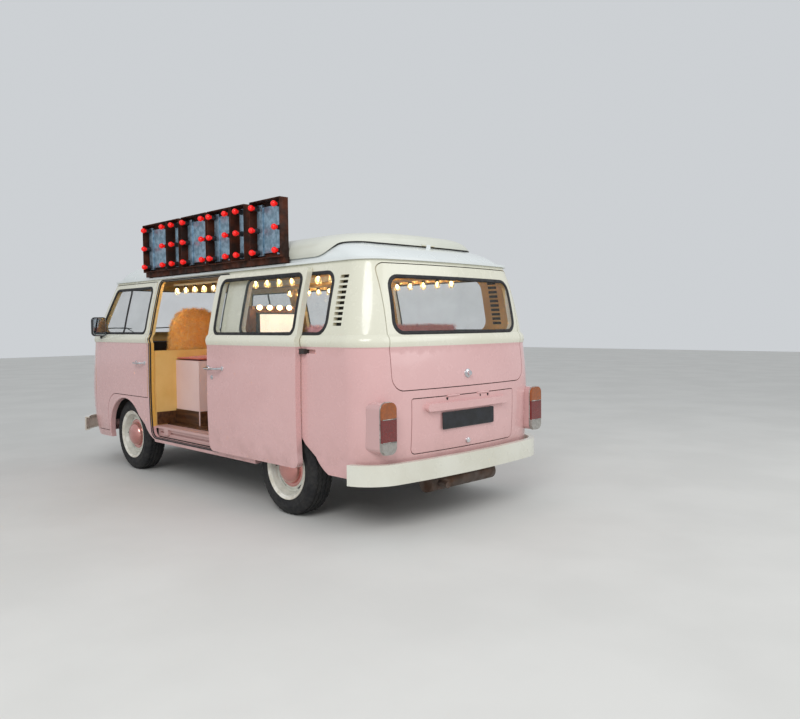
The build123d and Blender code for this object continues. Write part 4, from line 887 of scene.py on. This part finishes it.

# Air louvres. Behind each row of slots in the quarter panels stands a thin black box of the rubber material,
# as painted shade for the dark duct behind the slots.
LOUVRE_X = (-1.875, -1.779)
LOUVRE_Z = (1.270, 1.634)
DUCT_DEPTH = (0.030, 0.036)
for side, way in SIDES.items():
    opening = np.array([on_side(LOUVRE_X[i], LOUVRE_Z[j], side)[0]
                        for i, j in ((0, 0), (1, 0), (1, 1), (0, 1))])
    rings = [opening - [0, way * depth, 0] for depth in DUCT_DEPTH]
    piece(f"louvre_painted_shade_{side}", *stacked(rings), RUBBER, smooth=False)

# Front air grille. A black sheet of the rubber material follows the nose 34 mm behind the slots, as painted
# shade for the dark space behind them.
GRILLE_DEPTH = 0.034
GRILLE_Z = (1.000, 1.100)
columns = [(on_end(y, 0.985, 1)[0][0] - GRILLE_DEPTH, y) for y in np.linspace(0.450, -0.450, 13)]
shade_sheet_points = [(x, y, z) for x, y in columns for z in GRILLE_Z]
thickened(piece("grille_painted_shade", shade_sheet_points, grid_faces(13, 2), RUBBER), 0.002)


# Wipers. A black steel arm turns on a hub under the windscreen and carries a blade that lies on the glass.
def wiper(name, pivot_y, park_y):
    """Hub at the pivot, an arm that rises off the skin, and a blade round the park position."""
    hub = lathe([(0.0, 0.022), (0.011, 0.022), (0.014, 0.016), (0.015, -0.002)],
                *on_end(pivot_y, 1.205, 1), 20, (0, 1, 0))
    arm = []
    for t in (0.0, 0.12, 0.45, 0.75, 1.0):
        place, normal = on_end(pivot_y + (park_y - pivot_y) * t, 1.225 + 0.055 * min(1, t * 2.2), 1)
        arm.append(place + normal * (0.018 if t < 0.9 else 0.013))
    parts = [hub, sweep(arm, circle(0.0042, 8, 0.6), [normal], False)]
    reach = np.linspace(-0.20, 0.20, 7)
    path, normals = laid(np.stack([park_y + reach, 1.284 - 0.04 * np.abs(reach)], 1), 1, SKIN, 0.009)
    parts.append(sweep(path, circle(0.005, 6, 1.5), normals[-1:], False))
    return piece(name, *joined(parts), PLASTIC)


wiper("wiper_driver", -0.330, -0.060)
wiper("wiper_passenger", 0.300, 0.560)

# Dashboard and steering wheel. Both are moulded in the same black plastic as the mirrors.
dress(PLASTIC, "dashboard", "steering_wheel")

# Cabin floor. Brown wooden planks 118 mm wide lie over the pan with 2 mm between them, and a cream enamelled
# plate covers the sill in the doorway.
FLOOR_TOP = 0.445
FLOOR_X = (-1.455, 0.655)
FLOOR_Y = (-0.685, 0.690)
PLANK = 0.118
SILL_TOP = 0.4252

# Stained boards have long dark grain along X and a worn varnish.
FLOOR_WOOD = surface("floor_wood", "5E3C22", "3F2513", (0.35, 0.6), 333, 25.0, 0.2, stretch=(1, 12, 12))
planks = [cuboid(FLOOR_X, (y, min(y + PLANK - 0.002, FLOOR_Y[1])), (FLOOR_TOP + 0.0003, FLOOR_TOP + 0.007))
          for y in np.arange(FLOOR_Y[0], FLOOR_Y[1] - 0.02, PLANK)]
bevel(piece("floor_boards", *joined(planks), FLOOR_WOOD, smooth=False), 0.0012, 1)
sill = cuboid((-0.440, 0.620), (0.7005, 0.7790), (SILL_TOP, SILL_TOP + 0.004))
bevel(piece("sill_plate", *sill, CREAM_ENAMEL, smooth=False), 0.001, 1)

# Seat boxes and partitions. Boards painted yellow stand behind the front seats, each with a kick board of
# floor wood at its foot. The steel seat boxes have the same paint.
YELLOW_BOARD = surface("yellow_board", "E6BE74", "DDB264", (0.4, 0.6), 250, 8.33, 0.06)
dress(YELLOW_BOARD, "seat_boxes")
for name, y_range in (("partition_driver", (-0.700, -0.152)), ("partition_passenger", (0.102, 0.790))):
    board = cuboid((0.6525, 0.6592), y_range, (0.450, 1.088))
    bevel(piece(name, *board, YELLOW_BOARD, smooth=False), 0.002)
    kick = cuboid((0.6455, 0.6522), y_range, (0.4525, 0.560))
    bevel(piece(f"{name}_kick_board", *kick, FLOOR_WOOD, smooth=False), 0.002)

# Box seat. Its boards are painted in a pale pink over a brown wooden plinth, which shows on two sides.
PLINTH_Z = (0.4525, 0.575)
SEAT_LOW, SEAT_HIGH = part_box("box_seat")
dress(surface("painted_board", "E6C8C3", "E0BFBA", (0.35, 0.5), 333, 12.5, 0.05), "box_seat")
plinth = cuboid((SEAT_LOW[0] + 0.012, SEAT_HIGH[0] - 0.002), (SEAT_HIGH[1] + 0.0002, SEAT_HIGH[1] + 0.008),
                PLINTH_Z)
bevel(piece("box_seat_plinth", *plinth, FLOOR_WOOD, smooth=False), 0.001, 1)
plinth = cuboid((SEAT_LOW[0] - 0.008, SEAT_LOW[0] - 0.0002), (SEAT_LOW[1] + 0.01, SEAT_HIGH[1] - 0.004),
                PLINTH_Z)
bevel(piece("box_seat_end_plinth", *plinth, FLOOR_WOOD, smooth=False), 0.001, 1)

# Seat pads. Blocks of foam in sewn covers lie on the box seat, the rear bench and the deck behind it, and one
# leans on the bench's back. Their sides are drawn in between the corners, and their faces are crowned.
SIDE_DRAW = 0.012


def cushion(name, sheets, material, upright=False):
    """Closed pad from two square grids of points, joined round their edges and subdivided once."""
    count = sheets.shape[1]
    size = count * count
    grid = np.arange(size).reshape(count, count)
    sheet = grid_faces(count, count)
    over = [face[::-1] for face in sheet]
    ring = np.concatenate([grid[:, 0], grid[-1, 1:], grid[-2::-1, -1], grid[0, -2:0:-1]]).tolist()
    ahead = ring[1:] + ring[:1]
    first, last, edge = (over, sheet, zip(ring, ahead)) if upright else (sheet, over, zip(ahead, ring))
    faces = first + [[size + k for k in face] for face in last]
    faces += [[a, b, b + size, a + size] for a, b in edge]
    obj = piece(name, sheets.reshape(-1, 3), faces, material)
    soft = obj.modifiers.new("soft", "SUBSURF")
    soft.levels = 1
    soft.render_levels = 1
    return obj


def crowned_pad(name, low, high, material, crown=0.016):
    """Cushion in a box: with u, v from -1 to 1, its top swells by crown (1-u^2)(1-v^2)."""
    low, high = np.array(low), np.array(high)
    (x, y, z), half = (low + high) / 2, (high - low) / 2
    u, v = np.meshgrid(*[np.linspace(-1, 1, 27)] * 2, indexing="ij")
    edge = np.maximum(np.abs(u), np.abs(v)) ** 6
    lift = (half[2] - crown) * (1 - 0.55 * edge) + crown * (1 - u * u) * (1 - v * v)
    across = x + u * (half[0] - SIDE_DRAW * (1 - v * v))
    along = y + v * (half[1] - SIDE_DRAW * (1 - u * u))
    heights = (z + lift, z - (half[2] - 0.003 - 0.012 * edge))
    return cushion(name, np.stack([np.stack([across, along, height], -1) for height in heights]), material)


def leaned_pad(name, foot, top, thick, half_width, material, crown, dome=0.0):
    """Cushion that leans from a foot to a top: both faces swell, and it narrows by a dome to its top."""
    foot, top = np.array(foot), np.array(top)
    lean = top - foot
    out = unit(np.array([lean[2], 0, -lean[0]]))
    u, v = np.meshgrid(*[np.linspace(-1, 1, 25)] * 2, indexing="ij")
    edge = np.maximum(np.abs(u), np.abs(v)) ** 6
    depth = (thick / 2 - crown) * (1 - 0.6 * edge) + crown * (1 - u * u) * (1 - v * v)
    narrow = np.sqrt(1 - dome * np.maximum(0, (u - 0.1) / 0.9) ** 3)
    reach = v * narrow * (half_width - SIDE_DRAW * (1 - u * u))
    middle = foot + lean * (u[..., None] + 1) / 2 + reach[..., None] * [0, 1, 0]
    sheets = np.stack([middle + out * way * depth[..., None] for way in (1, -1)])
    return cushion(name, sheets, material, upright=True)


# Red cloth is a dull weave with a soft sheen at its edges, and the pink fur is paler where it catches light.
RED_CLOTH = surface("red_cloth", "DF5B33", "CF4A26", (0.75, 0.9), 41.7, 1.43, 0.4, sheen=0.4)
PINK_FUR = surface("pink_fur", "EFB4BB", "E8A5AE", (0.8, 0.95), 55.6, 3.33, 0.3, sheen=0.5)
box_pad = crowned_pad("box_seat_pad", (SEAT_LOW[0] + 0.003, SEAT_LOW[1] + 0.002, SEAT_HIGH[2] + 0.001),
                      (SEAT_HIGH[0] - 0.006, SEAT_HIGH[1] - 0.001, 1.042), RED_CLOTH)
bench_pad = crowned_pad("bench_pad", (-1.322, -0.768, 0.7605), (-0.902, 0.768, 0.892), PINK_FUR, 0.022)
deck_pad = crowned_pad("deck_pad", (-2.078, -0.618, 0.9055), (-1.542, 0.618, 1.012), PINK_FUR, 0.022)
back_pad = leaned_pad("bench_back_pad", (-1.388, 0, 0.775), (-1.425, 0, 1.288), 0.125, 0.738, PINK_FUR,
                      0.024)
for pad in (box_pad, bench_pad, deck_pad, back_pad):
    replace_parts(pad, "cushions")

# Front seats and fur covers. Each seat is a sprung pad and back, and its back has a long-haired orange cover.
# The rear bench has shorter pink fur on its pad and back.
SEAT_Y = 0.370
SEAT_HALF = 0.232


def fur(name, pad, count, length, width, material, seed):
    """Tapered tufts from random points p of a pad's faces: p, p + L/2 d1, p + L/2 (d1 + d2).

    The direction d1 leans at random from the face's normal, and d2 is d1 bent down by up to 0.7.
    """
    rng = np.random.default_rng(seed)
    points, faces = arrays(pad.data, 4)
    corners = points[faces[:, [[0, 1, 2], [0, 2, 3]]].reshape(-1, 3)]
    normals = np.cross(corners[:, 1] - corners[:, 0], corners[:, 2] - corners[:, 0])
    areas = np.linalg.norm(normals, axis=1)
    pick = rng.choice(len(areas), count, p=areas / areas.sum())
    u, v = rng.random((2, count, 1))
    swap = u + v > 1
    u, v = np.where(swap, 1 - u, u), np.where(swap, 1 - v, v)
    a, b, c = corners[pick].transpose(1, 0, 2)
    foot = a + u * (b - a) + v * (c - a)
    out = unit(normals)[pick]
    lean = unit(out + rng.normal(0, 0.45, (count, 3)))
    fall = unit(lean + np.array([0, 0, -0.7]) * rng.random((count, 1)))
    half = length * (0.6 + 0.6 * rng.random((count, 1))) / 2
    across = unit(np.cross(lean, rng.normal(0, 1, (count, 3)))) * width / 2
    root, middle = foot - out * 0.003, foot + lean * half
    tufts = [root - across, root + across, middle + across * 0.7, middle - across * 0.7, middle + fall * half]
    first = np.arange(count)[:, None] * len(tufts)
    faces = (first + [0, 1, 2, 3]).tolist() + (first + [3, 2, 4]).tolist()
    return piece(name, np.stack(tufts, 1).reshape(-1, 3), faces, material)


# Orange fur is light and matt, with a sheen that brightens the tips.
ORANGE_FUR = surface("orange_fur", "FFCF76", "FCC05C", (0.8, 0.95), 55.6, 3.33, 0.3, sheen=0.7)
for side, way in SIDES.items():
    y = way * SEAT_Y
    pad = crowned_pad(f"front_seat_pad_{side}", (0.800, y - SEAT_HALF, 0.7365), (1.290, y + SEAT_HALF, 0.888),
                      DARK_TRIM, 0.028)
    back = leaned_pad(f"front_seat_back_{side}", (0.802, y, 0.862), (0.712, y, 1.442), 0.118, 0.236,
                      ORANGE_FUR, 0.030, dome=0.86)
    fur(f"seat_cover_fur_{side}", back, 15000, 0.036, 0.0036, ORANGE_FUR, seed=3 + (y > 0))
    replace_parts(pad, "front_seats")
    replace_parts(back, "front_seats")
fur("rear_cushion_fur", back_pad, 24000, 0.022, 0.0024, PINK_FUR, seed=11)
fur("bench_pad_fur", bench_pad, 20000, 0.018, 0.0024, PINK_FUR, seed=12)

# Cabinet and rear bench. Both are built of stained plywood. The cabinet behind the driver has two doors with
# turned chrome knobs.
CABINET_LOW, CABINET_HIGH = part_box("cabinet")
FACE_X = CABINET_LOW[0]
CABINET_Y = (CABINET_LOW[1] + CABINET_HIGH[1]) / 2
DOOR_THICK = 0.0095
KNOB = [(0.0, 0.022), (0.010, 0.021), (0.013, 0.016), (0.009, 0.008), (0.006, 0.0)]

# Stained plywood is orange brown with an upright grain.
CABINET_WOOD = surface("cabinet_wood", "9A5F2C", "74431E", (0.35, 0.55), 333, 25.0, 0.15, stretch=(10, 10, 1))
dress(CABINET_WOOD, "cabinet", "rear_bench")
doors = [cuboid((FACE_X - DOOR_THICK, FACE_X - 0.0003), (CABINET_Y + low, CABINET_Y + high), (0.470, 1.185))
         for low, high in ((-0.270, -0.004), (0.004, 0.270))]
bevel(piece("cabinet_doors", *joined(doors), CABINET_WOOD, smooth=False), 0.003)
knobs = [lathe(KNOB, (FACE_X - DOOR_THICK, CABINET_Y + way * 0.030, 0.86), (-1, 0, 0), 20, (0, 1, 0))
         for way in (-1, 1)]
piece("cabinet_knobs", *joined(knobs), CHROME)

# Light box. A blank acrylic face lit from behind, in a dark painted frame 16 mm wide on the cabinet's front.
BOX_Y = (-0.560, -0.160)
BOX_Z = (1.234, 1.405)
BORDER = 0.016


def glowing(name, colour, strength, base="FFF4E0"):
    """Lamp glass of two tones in cells of 4.5 mm, that gives light evenly."""
    material, tree, shader, place = blank(name)
    cells = noise(tree, place, 4.55)
    fill(tree, shader, {
        "Base Color": node(tree, "ShaderNodeMix", {0: cells, 6: linear(base), 7: linear(colour)},
                           **COLOUR_MIX),
        "Emission Color": linear(colour), "Emission Strength": strength, "Roughness": 0.25})
    return material


level = (BOX_Y[0] - BORDER, BOX_Y[1] + BORDER)
upright = (BOX_Z[0] + 0.0002, BOX_Z[1] - 0.0002)
bars = [cuboid((FACE_X - 0.045, FACE_X - 0.0003), y_range, z_range) for y_range, z_range in (
    (level, (BOX_Z[1], BOX_Z[1] + BORDER)), (level, (BOX_Z[0] - BORDER, BOX_Z[0])),
    ((level[0], BOX_Y[0]), upright), ((BOX_Y[1], level[1]), upright))]
bevel(piece("light_box_frame", *joined(bars), DARK_TRIM, smooth=False), 0.002)
face = cuboid((FACE_X - 0.036, FACE_X - 0.0005), BOX_Y, BOX_Z)
bevel(piece("light_box_face", *face, glowing("lightbox_face", "FFF3DC", 1.1), smooth=False), 0.002)

# Cabinet bulbs. Five blown glass bulbs in plastic sockets, on a wooden bar above the light box.
GLOBE = [(0.0, 0.072), (0.012, 0.070), (0.020, 0.063), (0.024, 0.052), (0.024, 0.042), (0.019, 0.029),
         (0.0135, 0.018), (0.0125, 0.010)]
SOCKET = [(0.0145, 0.0), (0.0155, 0.004), (0.0155, 0.016), (0.013, 0.018)]
BAR_FACE_X = FACE_X - 0.022
bar = cuboid((BAR_FACE_X, FACE_X - 0.0003), (-0.640, -0.090), (1.450, 1.479))
bevel(piece("bulb_bar", *bar, CABINET_WOOD, smooth=False), 0.002)
places = [(BAR_FACE_X, y, 1.4645) for y in np.linspace(-0.590, -0.140, 5)]
for name, profile, material in (
        ("cabinet_bulbs", GLOBE, glowing("white_bulb", "FFD591", 9.0)),
        ("cabinet_bulb_sockets", SOCKET, PLASTIC)):
    piece(name, *joined([lathe(profile, place, (-1, 0, 0), 20, (0, 1, 0)) for place in places]), material)

# Roof bulbs. Fifteen clear bulbs hang in plastic sockets under a batten along each edge of the roof. Inside
# each globe is a hot thread.
BATTEN_Z = 1.652
BATTEN_Y = 0.600
BATTEN_HALF = 0.012
BULBS_X = (0.600, -1.520)
BULBS = 15
THREAD = ((0.0, 0.020), (0.004, 0.040), (-0.004, 0.052))

# The lining's cloth is matt cream, lamp glass is clear and a little milky, and the threads are very bright.
LINING = surface("roof_lining", "E6D8B4", "DACBA2", (0.7, 0.9), 333, 2.86, 0.15)
LAMP_GLASS = glazing("lamp_glass", "E8EEF0", 0.35)
HOT_THREAD = glowing("warm_bulb", "FFC46E", 320.0)
for side, way in SIDES.items():
    y = way * BATTEN_Y
    bulb_x = np.linspace(*BULBS_X, BULBS)
    batten = cuboid((BULBS_X[1] - 0.04, BULBS_X[0] + 0.04), (y - BATTEN_HALF, y + BATTEN_HALF),
                    (BATTEN_Z - 0.004, BATTEN_Z + 0.012))
    bevel(piece(f"bulb_batten_{side}", *batten, LINING, smooth=False), 0.003)
    for name, profile, material in (
            ("roof_bulbs", GLOBE, LAMP_GLASS), ("roof_bulb_sockets", SOCKET, PLASTIC)):
        row = [lathe(profile, (x, y, BATTEN_Z - 0.006), (0, 0, -1), 16) for x in bulb_x]
        piece(f"{name}_{side}", *joined(row), material)
    threads = [sweep([(x + bend, y, BATTEN_Z - drop) for bend, drop in THREAD], circle(0.0014, 6),
                     [(0, 1, 0)], False) for x in bulb_x]
    piece(f"roof_bulb_threads_{side}", *joined(threads), HOT_THREAD)

# Roof sign. Six open trays of rusty steel strip, of different widths, stand on the roof's left edge. Blank
# galvanised sheet panels fill them, with a plastic socket under each red bulb.
TRAYS = [(0.417, 0.836), (0.202, 0.404), (-0.224, 0.161), (-0.566, -0.248), (-0.759, -0.577),
         (-1.199, -0.831)]
TRAY_Z = (1.768, 2.175)
TRAY_BACK = 0.724
PANEL_FACE = TRAY_BACK + 0.022
MARGIN = 0.046
NARROW = 0.260
COLLAR = [(0.0125, 0.0), (0.019, 0.001), (0.020, 0.006), (0.015, 0.034), (0.0125, 0.036)]

# Rust is rough and brown with dark scale, the bulbs glow a little red, and zinc is blue grey with spangles.
dress(surface("rusty_steel", "5A2E1C", "33211A", (0.6, 0.9), 111, 7.69, 0.5, metallic=0.5), "sign_frame")
dress(glowing("red_bulb", "E01812", 0.6, "B80A08"), "sign_bulbs")
ZINC = surface("galvanised_sheet", "A3BFD0", "7F9AAB", (0.3, 0.55), 38.5, 16.7, 0.1, metallic=0.9)
panels, collars = [], []
for low, high in TRAYS:
    middle = (low + high) / 2
    if high - low >= NARROW:
        columns = [high - MARGIN, low + MARGIN]
        strips = [(low + 0.030, low + 0.098), (high - 0.098, high - 0.030)]
        panels.append(cuboid((strips[0][1], strips[1][0]), (TRAY_BACK + 0.0003, TRAY_BACK + 0.014),
                             (TRAY_Z[0] + 0.040, TRAY_Z[1] - 0.040)))
    else:
        columns = [middle]
        strips = [(middle - 0.034, middle + 0.034)]
    panels += [cuboid(strip, (TRAY_BACK + 0.0003, PANEL_FACE), (TRAY_Z[0] + 0.022, TRAY_Z[1] - 0.022))
               for strip in strips]
    collars += [lathe(COLLAR, (x, PANEL_FACE, z), (0, 1, 0), 18) for x in columns
                for z in (TRAY_Z[0] + MARGIN, sum(TRAY_Z) / 2, TRAY_Z[1] - MARGIN)]
bevel(piece("sign_panels", *joined(panels), ZINC, smooth=False), 0.002)
sharpen(piece("sign_collars", *joined(collars), PLASTIC), 40)

# Lid skirt. A black rubber tube lies on the roof's dome under the lid's edge. Half of its outline goes from
# the middle of the front round the left to the middle of the rear.
ROOF_TREE = tree_of("roof")
SKIRT = ([(0.790, 0.0), (0.790, 0.280), (0.790, 0.560)]
         + [(x, 0.690) for x in (0.740, 0.4, 0.0, -0.4, -0.8, -1.2, -1.5)]
         + [(-1.62, 0.655), (-1.72, 0.565), (-1.785, 0.440), (-1.800, 0.300), (-1.800, 0.0)])
outline = dense(np.array(SKIRT + [(x, -y) for x, y in SKIRT[-2:0:-1]]), 0.05)
found = [hit(ROOF_TREE, (x, y, FAR), (0, 0, -1)) for x, y in outline]
path, normals = (np.array(rows) for rows in zip(*found))
piece("lid_skirt", *sweep(path + normals * 0.0045, circle(0.0065, 8, 0.85), normals), RUBBER)

# Canvas bellows of the lid. Four panels of cotton canvas, tacked round the hatch and under the lid's rim.
# Only the strip that lies in the gap of the shut lid is made.
LID_TREE = tree_of("pop_top")
HATCH_X = (-1.180, 0.700)
HATCH_Y = 0.480
CANVAS_ROWS = 9
CANVAS_OFF = 0.0012


def canvas_panel(name, foot, head, columns):
    """Panel from a foot line to a head line in plan: z goes from the roof's skin to the lid's under face."""
    points = []
    for rise in np.linspace(0, 1, CANVAS_ROWS):
        for along in np.linspace(0, 1, columns):
            low, high = (np.array(a) * (1 - along) + np.array(b) * along for a, b in (foot, head))
            x, y = low * (1 - rise) + high * rise
            skin = hit(ROOF_TREE, (x, y, FAR), (0, 0, -1))[0][2] + CANVAS_OFF
            under = hit(LID_TREE, (x, y, skin), (0, 0, 1))[0]
            top = skin + 0.006 if under is None else max(skin, under[2] - CANVAS_OFF)
            points.append((x, y, skin + (top - skin) * rise))
    return piece(name, points, grid_faces(CANVAS_ROWS, columns), CANVAS, body=None)


# Canvas is a matt, coarse cream weave that has gone a little brown in patches of 125 mm.
CANVAS = surface("roof_canvas", "D8CBA6", "C6B88F", (0.8, 0.95), 125, 2.0, 0.5, sheen=0.3)
rear_x, front_x, foot_y = HATCH_X[0] - 0.020, HATCH_X[1] + 0.020, HATCH_Y + 0.020
head_rear, head_front, head_y = HATCH_X[0] - 0.070, HATCH_X[1] + 0.065, HATCH_Y + 0.080
panel = canvas_panel("roof_canvas_front", ((front_x, -foot_y), (front_x, foot_y)),
                     ((head_front, -head_y), (head_front, head_y)), 30)
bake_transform(panel)
panel = canvas_panel("roof_canvas_rear", ((rear_x, foot_y), (rear_x, -foot_y)),
                     ((head_rear, head_y), (head_rear, -head_y)), 30)
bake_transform(panel)
for side, way in SIDES.items():
    foot = [(front_x, way * foot_y), (rear_x, way * foot_y)][::way]
    head = [(head_front, way * head_y), (head_rear, way * head_y)][::way]
    panel = canvas_panel(f"roof_canvas_{side}", foot, head, 50)
    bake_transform(panel)

# Studio. A pale matt floor under an even pale sky, lit by two large round soft lamps: the key from the van's
# left and the fill from behind it.
mesh = bpy.data.meshes.new("floor")
floor_points, floor_faces = cuboid((-30, 30), (-30, 30), (-0.02, 0))
mesh.from_pydata(floor_points, [], floor_faces)
mesh.materials.append(surface("studio_floor", "D9D8D4", "D4D3CF", (0.7, 0.8), 1000, 5.0, 0.02))
floor = bpy.data.objects.new("floor", mesh)
bpy.context.scene.collection.objects.link(floor)
world = bpy.data.worlds.new("studio")
world.use_nodes = True
fill(world.node_tree, world.node_tree.nodes["Background"], {"Color": linear("EDF1F5"), "Strength": 0.72})
bpy.context.scene.world = world
for name, place, aim, size, power in (
        ("key", (-6.0, 6.5, 6.0), (-0.3, 0.0, 1.0), 5.0, 330.0),
        ("fill", (-7.5, -3.0, 4.5), (-0.5, 0.0, 1.0), 6.0, 120.0)):
    lamp = bpy.data.objects.new(name, bpy.data.lights.new(name, "AREA"))
    lamp.data.shape = "DISK"
    lamp.data.size = size
    lamp.data.energy = power
    lamp.location = place
    lamp.rotation_euler = (Vector(aim) - Vector(place)).to_track_quat("-Z", "Y").to_euler()
    bpy.context.scene.collection.objects.link(lamp)
bpy.context.scene.view_settings.view_transform = "Standard"
